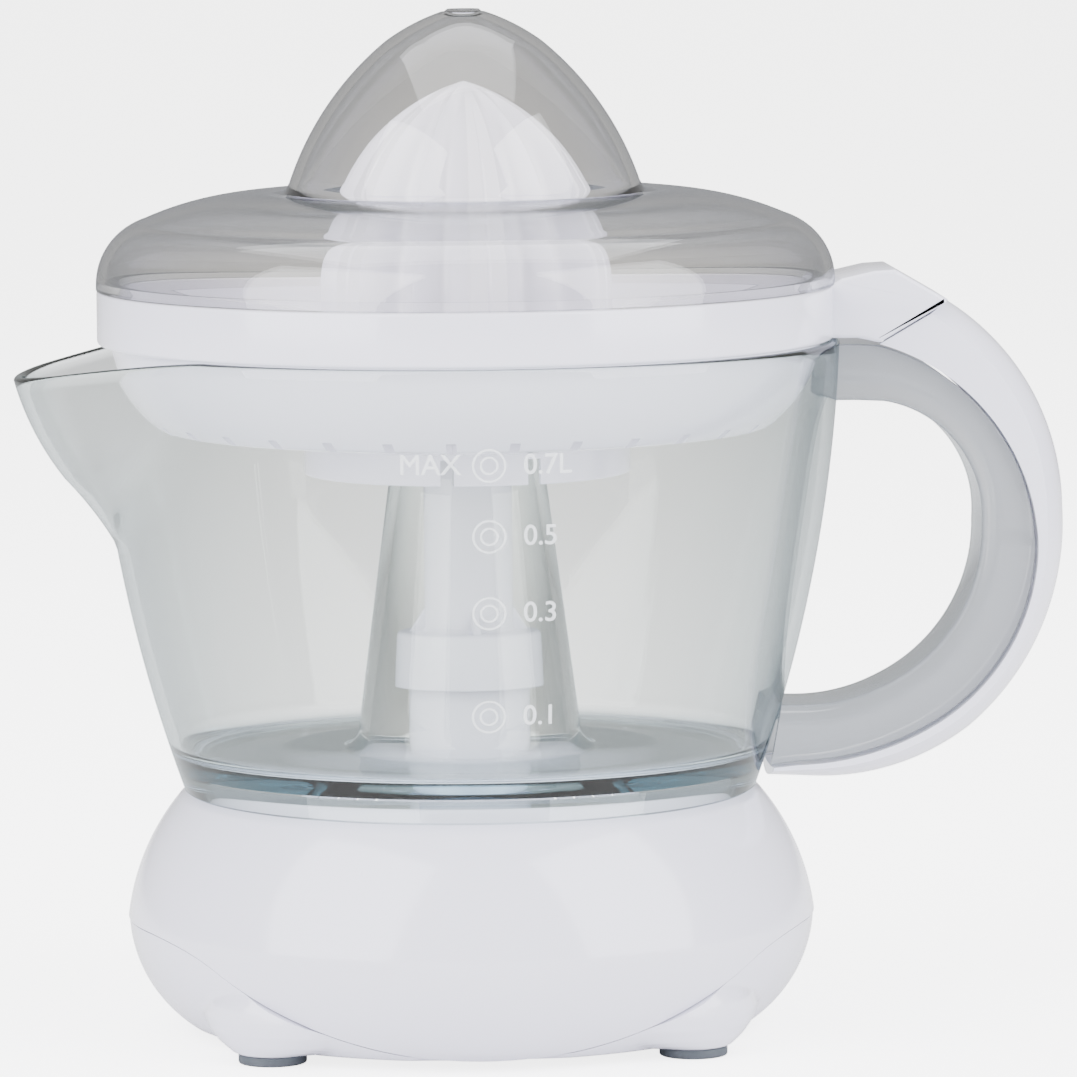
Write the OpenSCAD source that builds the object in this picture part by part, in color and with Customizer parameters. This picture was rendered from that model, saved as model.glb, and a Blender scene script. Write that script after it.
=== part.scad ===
// Electric citrus press: a motor base with a sprung drive spindle, a clear jug with a spout and
// a channel handle, a slotted strainer, a ribbed reamer and a clear dust cover.
// The spindle's axis is the Z axis and the feet stand on Z = 0. The spout points to -X, the
// handle to +X and the front, where the volume scale is, to -Y. Millimetres throughout.

/* [Base] */
// Radius of the base at its widest, where the housing meets the tray at the sides
base_r = 69.6; // [68.5:0.1:70.5]
// Height of that widest line
base_wide_z = 23.3; // [22.5:0.1:24]
// Radius of the ledge that the jug stands on
ledge_r = 58.2; // [57.8:0.1:59]
// Height of the ledge
ledge_z = 48.6; // [48:0.1:49]
// Radius of the raised plateau inside the jug's foot
plateau_r = 53.6; // [52:0.1:54]
// Height of the plateau
plateau_z = 52.4; // [51.5:0.1:53]
// Wall of the housing and the tray
base_wall = 2.4; // [2:0.1:2.8]
// Radius of a rubber foot
foot_r = 6.8; // [6:0.1:7.5]
// Distance of a foot's centre from the axis
foot_circle_r = 59; // [57:0.5:60]
// Radius of the opening for the mains lead
gland_bore_r = 3.4; // [3:0.1:4]

/* [Jug] */
// Outer radius of the jug's rim
jug_rim_r = 75.3; // [75:0.1:76]
// Height of the rim
jug_rim_z = 139.4; // [139:0.1:139.4]
// Outer radius of the jug's foot
jug_foot_r = 57.7; // [57.3:0.1:58]
// Wall of the jug
jug_wall = 2.4; // [2:0.1:2.6]
// Height of the floor inside the jug
jug_floor_z = 57.2; // [56.5:0.1:58]
// How far the spout's lip stands out from the axis
spout_reach = 92; // [88:0.5:93]
// Height of the spout's lip
spout_lip_z = 133.3; // [132:0.1:135]

/* [Handle] */
// Width of the clear channel across the handle
channel_w = 20; // [18:0.5:21]
// Width of the white cover across the handle
cover_w = 24; // [23.5:0.5:26]

/* [Strainer] */
// Outer radius of the strainer's ring
ring_r = 74.3; // [74:0.1:74.6]
// Height of the ring's top edge
ring_top_z = 150.3; // [149.8:0.1:150.3]
// Number of slots in the bowl's floor
slot_count = 32; // [24:4:36]
// Width of a slot
slot_w = 2; // [1.6:0.1:2.4]

/* [Reamer] */
// Height of the reamer's tip
reamer_top_z = 191.4; // [189:0.1:193]
// Number of main ribs
rib_count = 6; // [5:1:8]
// Turn of the ribs about the axis
rib_turn = 5.8; // [0:0.1:60]

/* [Dust cover] */
// Height of the dome's top
dome_top_z = 206.3; // [205:0.1:208]
// Radius of the cover's brim
brim_r = 74.4; // [74:0.1:74.6]
// Wall of the cover
cover_wall = 1.8; // [1.5:0.1:2]

/* [Drive] */
// Teeth of each large gear
wheel_teeth = 78; // [70:2:84]
// Teeth of each pinion
pinion_teeth = 12; // [12:1:14]
// Module of the slow gear pair, at the spindle
slow_module = 0.8; // [0.75:0.01:0.82]
// Module of the fast gear pair, at the motor
fast_module = 0.6; // [0.55:0.01:0.62]
// Radius of the steel drive shaft
shaft_r = 4; // [3.8:0.1:4.2]
// How far the spindle sinks when fruit is pressed on the reamer
press_travel = 2.5; // [2:0.1:3]

/* [Hidden] */
$fn = 96;

fit = 0.05;                 // running clearance of a shaft in its bush
slack = 0.25;               // clearance between pieces that lift apart
big = 200;                  // larger than the object, for cutting

// Base outline
underside_z = 1.9;
underside_r = 57.4;
seam_flat_r = 53;           // where the seam between housing and tray leaves its long arc
seam_side_z = 18.6;
boss_r = 12.2;              // fixed tube that the spindle's skirt covers
boss_top_z = 76;
boss_bore_r = 9.8;
bush_seat_z = 63;
bush_r = 6.5;
foot_h = underside_z;
plate_r = 55.4;             // round bottom plate of the tray
tray_screw_angles = [-20, 60, 165];
tray_screw_circle_r = 52;
tray_boss_top_z = 16;
gland_z = 12;
gland_hole_r = 5;            // hole through the housing's back for the gland
gland_flange_r = 6;

// Jug outline
jug_foot_z = ledge_z + 0.1;
jug_base_z = jug_floor_z - 3;
foot_bore_r = 54.6;
column_foot_r = 22.6;
column_foot_z = 61.5;
column_top_r = 14.2;
column_top_z = 124;
column_wall = 2.2;
spout_nose_r = 31;
spout_root_z = 100;
spout_start_x = -54.7;      // where the rim leaves its circle towards the lip

// Handle outline, in X and Z
function cover_outer(inset = 0) = concat(
    arc3([97, 146.6], [113.1, 130.5], [120.8, 104], 10, inset),
    tail(arc3([120.8, 104], [116.2, 78.9], [101.4, 59.4], 10, inset)),
    tail(arc3([101.4, 59.4], [88, 52.3], [70, 49.8], 5, inset)));
function cover_inner() = concat(
    arc3([82.4, 138.3], [104.2, 124.3], [114.6, 97], 10),
    tail(arc3([114.6, 97], [109.7, 78], [94.3, 61.5], 8)),
    tail(arc3([94.3, 61.5], [84, 56.6], [66, 53.4], 5)));
function grip_inner(inset = 0) = concat(
    arc3([84, 126.6], [97.9, 118.4], [103.3, 101.2], 8, inset),
    tail(arc3([103.3, 101.2], [97.8, 81.6], [84, 69.4], 8, inset)),
    tail(arc3([84, 69.4], [76, 66.4], [66, 65.4], 4, inset)));
grip_web = 3.5;             // thickness of the channel's web, next to the fingers
channel_wall = 2.2;
cover_shell = 2.4;
channel_rib_z = 97;

// Strainer outline
ring_wall = 2.2;
ring_foot_z = jug_rim_z + 0.1;
bowl_wall = 2;
floor_edge_r = 61.8;
floor_edge_z = 122.4;
skirt_r = 33;
skirt_low_z = 113;
floor_centre_z = 119;
hub_r = 17.4;
hub_bore_r = 15.4;
hub_top_z = 129;
spindle_hole_r = 10.6;
slot_inner_r = 38;
slot_outer_r = 63.4;
tongue_turn = 5.5;
tongue_half_w = 7.7;
tongue_gap = 3;
tab_w = 27;

// Dust cover outline
lip_r = ring_r - ring_wall - 0.5;

// Reamer outline
reamer_low_z = 124.4;
reamer_low_r = 33;
rib_low_z = 125.6;          // the ribs and the core end inside the foot's disc
socket_r = 10.5;
socket_z = 132.4;
socket_top_z = 157;
spindle_hex = 13;           // across the flats of the spindle's driving end
core_share = 0.84;          // radius between the ribs over the radius on them

// Drive
spindle_tube_r = 8.95;
skirt_top_z = 81.3;
skirt_foot_z = 70.3;
skirt_roof_z = boss_top_z + press_travel + 0.6;     // clear of the boss at full press
spindle_shoulder_z = 132;
spindle_top_z = 155;
shaft_low_z = 22;
shaft_hex = 6.8;            // across the flats of the shaft inside the gear
hub_low_z = 32.1;
hub_high_z = 47;
spring_top_z = 56;
gear_plate_z = 28.6;
gear_plate_t = 2;
pressure_angle = 25;
backlash = 0.07;            // taken off each tooth's thickness
slow_distance = slow_module * (wheel_teeth + pinion_teeth) / 2;
fast_distance = fast_module * (wheel_teeth + pinion_teeth) / 2;
slow_angle = 197;           // from the spindle to the intermediate gear
fast_angle = -52.5;         // from the intermediate gear to the motor
intermediate_xy = slow_distance * [cos(slow_angle), sin(slow_angle)];
motor_xy = intermediate_xy + fast_distance * [cos(fast_angle), sin(fast_angle)];
axle_r = 1.5;
plate_posts = [[42.4, 7.5], [-7.5, 42.4], [24, -36]];

// Motor, drawn about its rotor's axis with the coils towards +X
motor_mid_z = 17.5;
stack_h = 12;
rotor_r = 8.6;
pole_bore_r = 9.2;
leg_y = 12.5;
leg_w = 10;
core_end_x = 49;
coil_x = 19;
coil_len = 18.9;            // its outer flange ends just short of the core's yoke
coil_w = 20;
coil_h = 21;
motor_screw_x = -2;
motor_screw_y = 14;

// ---------------------------------------------------------------- outlines

function wrap(t) = t < 0 ? t + 360 : t >= 360 ? t - 360 : t;

// Centre of the circle through three points of a plane
function centre3(a, b, c) =
    let (d = 2 * (a.x * (b.y - c.y) + b.x * (c.y - a.y) + c.x * (a.y - b.y)))
    [
        (a * a * (b.y - c.y) + b * b * (c.y - a.y) + c * c * (a.y - b.y)) / d,
        (a * a * (c.x - b.x) + b * b * (a.x - c.x) + c * c * (b.x - a.x)) / d
    ];

// Points along the arc from a through b to c, moved by inset towards the arc's centre
function arc3(a, b, c, n = 8, inset = 0) =
    let (
        o = centre3(a, b, c),
        r = norm(a - o) - inset,
        start = atan2(a.y - o.y, a.x - o.x),
        turn_b = wrap(atan2(b.y - o.y, b.x - o.x) - start),
        turn_c = wrap(atan2(c.y - o.y, c.x - o.x) - start),
        sweep = turn_b < turn_c ? turn_c : turn_c - 360
    )
    [for (i = [0:n]) o + r * [cos(start + sweep * i / n), sin(start + sweep * i / n)]];

// The list without its first point, for an outline that goes on from another one's end
function tail(list) = [for (i = [1:len(list) - 1]) list[i]];

function reversed(list) = [for (i = [len(list) - 1:-1:0]) list[i]];

// Side of the base, from its underside up to the ledge
function base_side(inset = 0) = concat(
    arc3([underside_r, underside_z], [65.3, 9.8], [base_r, base_wide_z], 10, inset),
    tail(arc3([base_r, base_wide_z], [66.4, 35.5], [ledge_r, ledge_z], 10, inset)));

// Side of the jug, from its foot up to its rim
function jug_side(inset = 0) =
    arc3([jug_foot_r, jug_foot_z], [68.9, 88], [jug_rim_r, jug_rim_z], 16, inset);

// Dome and brim of the dust cover, from the top down to the brim's edge
function cover_side(inset = 0) = concat(
    arc3([0, dome_top_z], [7.6, dome_top_z - 1.8], [15.7, dome_top_z - 6.6], 8, inset),
    tail(arc3([15.7, dome_top_z - 6.6], [27.1, dome_top_z - 18.8], [35.6, 170], 12, inset)),
    arc3([37, 169.4], [54.2, 168], [65, 164.3], 6, inset),
    tail(arc3([65, 164.3], [71.8, 159.4], [brim_r, 151.5], 8, inset)));

// Dome of the reamer on its ribs, from the tip downwards
function reamer_dome() = concat(
    arc3([0, reamer_top_z], [10.5, 186.8], [19.7, 179.2], 6),
    tail(arc3([19.7, 179.2], [26.4, 168.5], [30.2, 148], 10)));

// Side of the reamer down to its foot; the share and the drop give the lower ribs and the core
function reamer_side(share = 1, drop = 0) =
    [for (p = concat(reamer_dome(), [[31, 136], [reamer_low_r - 0.5, 129], [reamer_low_r - 0.5, rib_low_z]]))
        [p.x * share, max(rib_low_z, p.y - drop)]];

// One rib, from a start radius outwards
function rib_outline(start, share, drop) =
    let (side = [for (p = reamer_side(share, drop)) if (p.x > start) p])
    concat(side, [[side[0].x, rib_low_z]]);

// Underside of the strainer's bowl wall
function bowl_side(inset = 0) =
    arc3([71.6, ring_foot_z], [68.2, 130], [floor_edge_r, floor_edge_z], 8, inset);

// Outline of a spur gear with involute flanks and a tooth on the X axis
function involute_turn(r, base) =
    let (t = sqrt(max(0, pow(r / base, 2) - 1)))
    t * 180 / PI - atan(t);
function gear_outline(module_size, teeth) =
    let (
        pitch = module_size * teeth / 2,
        base = pitch * cos(pressure_angle),
        root = pitch - 1.25 * module_size,
        tip = pitch + module_size,
        low = max(root, base),
        half = (PI * module_size / 2 - backlash) / (2 * pitch) * 180 / PI
            + involute_turn(pitch, base),
        radii = [low, (low + pitch) / 2, (pitch + tip) / 2, tip],
        flank = concat(
            root < base ? [[root, -half]] : [],
            [for (r = radii) [r, involute_turn(r, base) - half]]),
        tooth = concat(flank, [for (p = reversed(flank)) [p[0], -p[1]]])
    )
    [for (i = [0:teeth - 1], p = tooth)
        p[0] * [cos(p[1] + i * 360 / teeth), sin(p[1] + i * 360 / teeth)]];

// Stands an outline in X and Z upright, with its width along Y
module upright(width) {
    rotate([90, 0, 0])
        linear_extrude(width, center = true)
            children();
}

module ring(outer, inner, low, high) {
    difference() {
        translate([0, 0, low])
            cylinder(r = outer, h = high - low);
        translate([0, 0, low - 1])
            cylinder(r = inner, h = high - low + 2);
    }
}

module hex_bar(across, low, high) {
    translate([0, 0, low])
        cylinder(r = across / sqrt(3), h = high - low, $fn = 6);
}

// ---------------------------------------------------------------- base

// Everything under the seam between housing and tray
module below_seam(lift = 0) {
    side = arc3([seam_flat_r, seam_side_z], [60.5, 22.3], [base_r + 1, base_wide_z], 6);
    translate([0, 0, lift])
        upright(big)
            polygon(concat(
                [for (p = reversed(side)) [-p.x, p.y]],
                tail(arc3([-seam_flat_r, seam_side_z], [0, underside_z], [seam_flat_r, seam_side_z], 16)),
                tail(side),
                [[base_r + 9, base_wide_z], [base_r + 9, -9], [-base_r - 9, -9],
                 [-base_r - 9, base_wide_z]]));
}

module base_solid() {
    rotate_extrude()
        polygon(concat([[0, underside_z]], base_side(), [[0, ledge_z]]));
}

// Room inside the walls: closed below for the tray, open below for the housing
module base_cavity(open_below) {
    mouth = [[0, -1], [plate_r + slack, -1], [plate_r + slack, underside_z + base_wall - 0.7]];
    rotate_extrude()
        polygon(concat(
            open_below ? mouth : [[0, underside_z + base_wall]],
            tail(base_side(base_wall)),
            [[plateau_r - base_wall, ledge_z - base_wall],
             [plateau_r - base_wall, plateau_z - base_wall],
             [0, plateau_z - base_wall]]));
}

module at_tray_screws() {
    for (a = tray_screw_angles)
        rotate(a)
            translate([tray_screw_circle_r, 0, 0])
                children();
}

module at_feet() {
    for (a = [45:90:315])
        rotate(a)
            translate([foot_circle_r, 0, 0])
                children();
}

module upper_housing() {
    color("whitesmoke")
        difference() {
            union() {
                difference() {
                    union() {
                        base_solid();
                        translate([0, 0, ledge_z - 1])
                            cylinder(r1 = plateau_r + 0.4, r2 = plateau_r, h = plateau_z - ledge_z + 1);
                    }
                    base_cavity(true);
                    below_seam(0.1);
                }
                translate([0, 0, plateau_z - base_wall])
                    cylinder(r = boss_r, h = boss_top_z - plateau_z + base_wall);
                at_tray_screws()
                    translate([0, 0, tray_boss_top_z + 0.1])
                        cylinder(r = 3.6, h = ledge_z - base_wall - tray_boss_top_z);
                for (p = plate_posts)
                    translate([p.x, p.y, gear_plate_z + gear_plate_t])
                        cylinder(r = 4, h = plateau_z - gear_plate_z - gear_plate_t - 1);
            }
            translate([0, 0, plateau_z - base_wall - 1])
                cylinder(r = boss_bore_r, h = bush_seat_z - plateau_z + base_wall + 1);
            translate([0, 0, bush_seat_z - 1])
                cylinder(r = bush_r, h = big);
            at_tray_screws()
                translate([0, 0, tray_boss_top_z])
                    cylinder(r = 1.5, h = 14);
            for (p = plate_posts)
                translate([p.x, p.y, gear_plate_z])
                    cylinder(r = 1.3, h = 14);
            translate([0, big / 2, gland_z])
                rotate([90, 0, 0])
                    cylinder(r = gland_hole_r, h = big / 2 - 50);
        }
}

// A leg of the tray: a leaning cone that widens upwards into the bowl
module pod() {
    translate([0, 0, foot_h])
        difference() {
            translate([-1.6, 0, -3])
                rotate([0, -24, 0])
                    cylinder(r1 = 7.6, r2 = 15.5, h = 22);
            translate([0, 0, -10])
                cube([60, 60, 20], center = true);
        }
}

module bottom_tray() {
    color("white")
        difference() {
            union() {
                difference() {
                    intersection() {
                        union() {
                            base_solid();
                            intersection() {
                                at_feet()
                                    pod();
                                cylinder(r = base_r - 0.6, h = base_wide_z - 8);
                            }
                        }
                        below_seam(-0.1);
                    }
                    base_cavity(false);
                }
                translate([0, 0, underside_z])
                    cylinder(r = plate_r, h = base_wall);
                at_tray_screws()
                    translate([0, 0, underside_z])
                        cylinder(r = 5, h = tray_boss_top_z - underside_z);
                for (s = [-1, 1])
                    translate([-10, s * 4.4 - 1, underside_z])
                        cube([16, 2, 12]);
            }
            at_tray_screws() {
                translate([0, 0, -1])
                    cylinder(r = 3.5, h = 9);
                cylinder(r = 1.9, h = big);
            }
            at_feet()
                cylinder(r = 2.3, h = 6);
        }
}

module rubber_feet() {
    color("darkslategray")
        at_feet() {
            cylinder(r = foot_r, h = foot_h);
            cylinder(r = 2.2, h = 5.5);
        }
}

// A screw that points up, with its head's underside at the origin
module screw(shank_r, length, head_r, head_h) {
    difference() {
        translate([0, 0, -head_h])
            cylinder(r = head_r, h = head_h);
        translate([0, 0, -head_h])
            for (a = [0, 90])
                rotate(a)
                    cube([head_r * 1.2, 0.8, 2], center = true);
    }
    cylinder(r = shank_r, h = length);
}

module tray_screws() {
    color("silver")
        at_tray_screws()
            translate([0, 0, 8])
                screw(1.45, 19, 3, 2.2);
}

module cord_gland() {
    color("dimgray")
        translate([0, 57, gland_z])
            rotate([-90, 0, 0])
                difference() {
                    union() {
                        cylinder(r = gland_hole_r - fit, h = 12);
                        cylinder(r = gland_flange_r, h = 1.6);
                    }
                    translate([0, 0, -1])
                        cylinder(r = gland_bore_r, h = 14);
                }
}

// ---------------------------------------------------------------- gears and shafts

module gear_plate() {
    color("silver")
        translate([0, 0, gear_plate_z])
            difference() {
                linear_extrude(gear_plate_t)
                    difference() {
                        hull()
                            for (p = concat(plate_posts, [intermediate_xy, motor_xy + [-6, -6]]))
                                translate(p)
                                    circle(r = 6.5, $fn = 32);
                        circle(r = 5.5);
                        translate(motor_xy)
                            circle(r = 6);
                        for (p = plate_posts)
                            translate(p)
                                circle(r = 1.8);
                        at_motor_screws()
                            circle(r = 1.3);
                        translate(intermediate_xy)
                            circle(r = axle_r);
                    }
            }
}

module plate_screws() {
    color("silver")
        for (p = plate_posts)
            translate([p.x, p.y, gear_plate_z])
                screw(1.25, 13, 2.9, 2);
}

module lower_bush() {
    color("peru")
        union() {
            ring(5.5, shaft_r + fit, gear_plate_z - 1.4, gear_plate_z + gear_plate_t);
            ring(7.5, shaft_r + fit, gear_plate_z + gear_plate_t, hub_low_z - 0.1);
        }
}

module upper_bush() {
    color("peru")
        ring(bush_r, shaft_r + fit, bush_seat_z + 0.5, boss_top_z);
}

module output_gear() {
    color("ivory")
        difference() {
            union() {
                translate([0, 0, 38])
                    rotate(slow_angle)
                        linear_extrude(5.5)
                            polygon(gear_outline(slow_module, wheel_teeth));
                translate([0, 0, hub_low_z])
                    cylinder(r = 8, h = hub_high_z - hub_low_z);
            }
            ring(slow_module * wheel_teeth / 2 - 3.5, 8, 41.5, 44);
            ring(slow_module * wheel_teeth / 2 - 3.5, 8, 37, 39.5);
            hex_bar(shaft_hex + 0.4, hub_low_z - 1, hub_high_z + 1);
        }
}

module at_intermediate() {
    translate([intermediate_xy.x, intermediate_xy.y, 0])
        children();
}

module intermediate_gear() {
    color("ivory")
        at_intermediate()
            difference() {
                union() {
                    translate([0, 0, 32])
                        rotate(fast_angle)
                            linear_extrude(4.5)
                                polygon(gear_outline(fast_module, wheel_teeth));
                    translate([0, 0, 36.4])
                        rotate(slow_angle + 180 + 180 / pinion_teeth)
                            linear_extrude(7.6)
                                polygon(gear_outline(slow_module, pinion_teeth));
                    translate([0, 0, 31])
                        cylinder(r = 3, h = 2);
                }
                translate([0, 0, 30])
                    cylinder(r = axle_r + fit, h = 16);
            }
}

module intermediate_axle() {
    color("silver")
        at_intermediate() {
            translate([0, 0, gear_plate_z])
                cylinder(r = axle_r, h = 18);
            translate([0, 0, gear_plate_z - 0.8])
                cylinder(r = 2.6, h = 0.8);
        }
}

module drive_shaft() {
    color("silver") {
        difference() {
            translate([0, 0, shaft_low_z])
                cylinder(r = shaft_r, h = hub_low_z - 0.2 - shaft_low_z);
            ring(shaft_r + 1, 3, 25.9, 26.9);
        }
        hex_bar(shaft_hex, hub_low_z - 0.2, hub_high_z + 3.5);
        translate([0, 0, hub_high_z + 3.5])
            cylinder(r = shaft_r, h = 100 - hub_high_z - 3.5);
        translate([0, 0, spring_top_z])
            cylinder(r = 7.4, h = 1.5);
    }
}

// Snap ring in the shaft's groove, under the lower bush
module shaft_circlip() {
    color("dimgray")
        difference() {
            ring(5.6, 3, 25.95, 26.85);
            translate([0, -1.6, 25])
                cube([10, 3.2, 4]);
        }
}

// Points of a round wire's ring number i along a coil that climbs from low to high
function coil_ring(i, rings, turns, r, wire, low, high, sides) =
    let (a = 360 * turns * i / rings, z = low + (high - low) * i / rings)
    [for (k = [0:sides - 1])
        let (q = 360 * k / sides)
        [(r + wire * cos(q)) * cos(a), (r + wire * cos(q)) * sin(a), z + wire * sin(q)]];

module coil_spring(turns, r, wire, low, high) {
    sides = 8;
    rings = turns * 18;
    points = [for (i = [0:rings], p = coil_ring(i, rings, turns, r, wire, low, high, sides)) p];
    skin = [for (i = [0:rings - 1], k = [0:sides - 1])
        let (next = (k + 1) % sides)
        [i * sides + k, (i + 1) * sides + k, (i + 1) * sides + next, i * sides + next]];
    ends = [[for (k = [0:sides - 1]) k], [for (k = [sides - 1:-1:0]) rings * sides + k]];
    polyhedron(points = points, faces = concat(skin, ends), convexity = 10);
}

module return_spring() {
    color("gainsboro")
        coil_spring(4, 6, 0.45, hub_high_z + 0.5, spring_top_z - 0.5);
}

module drive_spindle() {
    color("whitesmoke")
        difference() {
            union() {
                translate([0, 0, skirt_roof_z])
                    cylinder(r = spindle_tube_r, h = spindle_shoulder_z - skirt_roof_z);
                difference() {
                    translate([0, 0, skirt_foot_z])
                        cylinder(r1 = 15, r2 = 14.5, h = skirt_top_z - skirt_foot_z);
                    translate([0, 0, skirt_foot_z - 1])
                        cylinder(r1 = 13.3, r2 = 13, h = skirt_roof_z - skirt_foot_z + 1);
                }
                for (a = [-90 + tongue_turn:90:200])
                    rotate(a)
                        upright(1.6)
                            polygon([[8, 85.4], [8, 81], [12, 81], [9.2, 85.4]]);
                hex_bar(spindle_hex, spindle_shoulder_z, spindle_top_z);
            }
            translate([0, 0, skirt_foot_z])
                cylinder(r = shaft_r + 0.01, h = 30);
        }
}

// ---------------------------------------------------------------- switch

module microswitch() {
    color("black")
        difference() {
            translate([-10, -3.2, underside_z + base_wall + 0.1])
                cube([16, 6.4, 14]);
            translate([0, 0, 11])
                cylinder(r = 1.5, h = 10);
        }
}

module switch_plunger() {
    color("red")
        translate([0, 0, 14.2])
            cylinder(r = 1.3, h = shaft_low_z - 0.1 - 14.2);
}

// ---------------------------------------------------------------- motor

module at_motor() {
    translate([motor_xy.x, motor_xy.y, 0])
        children();
}

module at_motor_screws() {
    for (s = [-1, 1])
        translate([motor_xy.x + motor_screw_x, motor_xy.y + s * motor_screw_y])
            children();
}

module core_outline() {
    difference() {
        union() {
            translate([-12, -17.5])
                square([24, 35]);
            for (s = [-1, 1])
                translate([0, s * leg_y - leg_w / 2])
                    square([core_end_x, leg_w]);
            translate([core_end_x - leg_w, -leg_y - leg_w / 2])
                square([leg_w, 2 * leg_y + leg_w]);
        }
        circle(r = pole_bore_r);
        translate([pole_bore_r - 1, -1.2])
            square([8, 2.4]);
        translate([-16, -1.2])
            square([8, 2.4]);
        for (s = [-1, 1])
            translate([motor_screw_x, s * motor_screw_y])
                circle(r = 1.6);
    }
}

module stator_core() {
    color("slategray")
        at_motor()
            translate([0, 0, motor_mid_z - stack_h / 2])
                linear_extrude(stack_h)
                    core_outline();
}

module coil_box(x, len, w, h, bore_w, bore_h) {
    difference() {
        translate([x, -w / 2, motor_mid_z - h / 2])
            cube([len, w, h]);
        translate([x - 1, -bore_w / 2, motor_mid_z - bore_h / 2])
            cube([len + 2, bore_w, bore_h]);
    }
}

module bobbin(side) {
    color("white")
        at_motor()
            translate([0, side * leg_y, 0]) {
                coil_box(coil_x, coil_len, leg_w + 2.4, stack_h + 2.4, leg_w + 0.1, stack_h + 0.1);
                coil_box(coil_x - 1.2, 1.2, coil_w, coil_h, leg_w + 0.1, stack_h + 0.1);
                coil_box(coil_x + coil_len, 1, coil_w, coil_h, leg_w + 0.1, stack_h + 0.1);
            }
}

module winding(side) {
    color("chocolate")
        at_motor()
            translate([0, side * leg_y, 0])
                coil_box(coil_x + 0.1, coil_len - 0.2, coil_w - 1.4, coil_h - 1.4,
                    leg_w + 2.5, stack_h + 2.5);
}

module motor_bracket(low) {
    color("silver")
        at_motor()
            translate([0, 0, low])
                linear_extrude(1.4)
                    difference() {
                        translate([-7, -17])
                            square([14, 34]);
                        circle(r = 4);
                        for (s = [-1, 1])
                            translate([motor_screw_x, s * motor_screw_y])
                                circle(r = 1.6);
                    }
}

module motor_bracket_upper() {
    motor_bracket(motor_mid_z + stack_h / 2 + 1.2);
}

module motor_bracket_lower() {
    motor_bracket(motor_mid_z - stack_h / 2 - 2.6);
}

module motor_bushes() {
    color("peru")
        at_motor() {
            ring(4, 1.55, 24.7, 27);
            ring(4, 1.55, 8, 10.3);
        }
}

module motor_screws() {
    color("silver")
        at_motor_screws()
            translate([0, 0, 8.9])
                screw(1.3, 21.7, 2.6, 2);
}

module motor_shaft() {
    color("silver")
        at_motor()
            translate([0, 0, 7.2])
                cylinder(r = 1.5, h = 30.8);
}

module rotor_magnet() {
    color("darkslategray")
        at_motor()
            ring(rotor_r, 1.5, 11, 24);
}

module motor_pinion() {
    color("gold")
        at_motor()
            translate([0, 0, 31.4])
                difference() {
                    rotate(fast_angle + 180 + 180 / pinion_teeth)
                        linear_extrude(5.6)
                            polygon(gear_outline(fast_module, pinion_teeth));
                    translate([0, 0, -1])
                        cylinder(r = 1.5, h = 8);
                }
}

// ---------------------------------------------------------------- jug

// Outer form of the spout with its lip, or, moved in by the wall, the channel inside it
module spout_form(inset) {
    nose_x = spout_reach - spout_nose_r;
    hull() {
        translate([0, 0, spout_root_z])
            cylinder(r = 71.4 - inset, h = 1);
        translate([0, 0, jug_rim_z - 1])
            cylinder(r = jug_rim_r - 0.3 - inset, h = 1);
        translate([-nose_x, 0, jug_rim_z - 1])
            cylinder(r = spout_nose_r + 1 - inset, h = 1);
        translate([-nose_x + 6.6, 0, 118])
            cylinder(r = spout_nose_r - inset, h = 1);
    }
}

// Cut that lowers the rim from its round part towards the lip
module rim_fall() {
    upright(big)
        polygon(concat(
            arc3([spout_start_x, jug_rim_z], [-72, 137.6], [-spout_reach, spout_lip_z], 8),
            [[-spout_reach - 9, spout_lip_z - 1.6], [-spout_reach - 9, jug_rim_z + 9],
             [spout_start_x, jug_rim_z + 9]]));
}

module jug_hollow() {
    intersection() {
        union() {
            rotate_extrude()
                polygon(concat([[0, jug_foot_z]], jug_side(jug_wall), [[0, jug_rim_z]]));
            translate([0, 0, jug_rim_z - 0.1])
                cylinder(r = jug_rim_r - jug_wall, h = 5);
            spout_form(jug_wall);
        }
        translate([0, 0, jug_floor_z])
            cylinder(r = big, h = big);
    }
}

// Clear channel of the handle, open towards the cover
module handle_channel() {
    difference() {
        upright(channel_w)
            polygon(concat(
                [[70, 126.6]], grip_inner(), [[60, 65.4], [57, 52.6]],
                reversed(cover_outer(cover_shell + 0.2)), [[82, 138.4], [70, 138.4]]));
        upright(channel_w - 2 * channel_wall)
            difference() {
                polygon(concat(
                    grip_inner(-grip_web), [[64, 58], [64, 40]],
                    reversed(cover_outer(-9)), [[88, 140]]));
                translate([90, channel_rib_z])
                    square([40, 1.5]);
            }
        upright(big)
            polygon([[82.2, 138.6], [97, 146.7], [130, 160], [60, 160], [60, 138.6]]);
    }
}

module jug() {
    color([0.80, 0.88, 0.90, 0.45])
        difference() {
            union() {
                difference() {
                    union() {
                        rotate_extrude()
                            polygon(concat([[0, jug_foot_z]], jug_side(), [[0, jug_rim_z]]));
                        spout_form(0);
                        handle_channel();
                    }
                    jug_hollow();
                    translate([0, 0, jug_foot_z - 1])
                        cylinder(r = foot_bore_r, h = jug_base_z - jug_foot_z + 1);
                    rim_fall();
                }
                rotate_extrude()
                    polygon(concat(
                        [[0, jug_base_z], [26.8, jug_base_z]],
                        arc3([26.8, jug_floor_z], [23.8, 58.4], [column_foot_r, column_foot_z], 4),
                        [[column_top_r, column_top_z], [0, column_top_z]]));
            }
            rotate_extrude()
                polygon([
                    [0, jug_base_z - 1], [column_foot_r, jug_base_z - 1],
                    [column_foot_r - column_wall, column_foot_z],
                    [column_top_r - column_wall, column_top_z + 1], [0, column_top_z + 1]]);
        }
}

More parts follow.
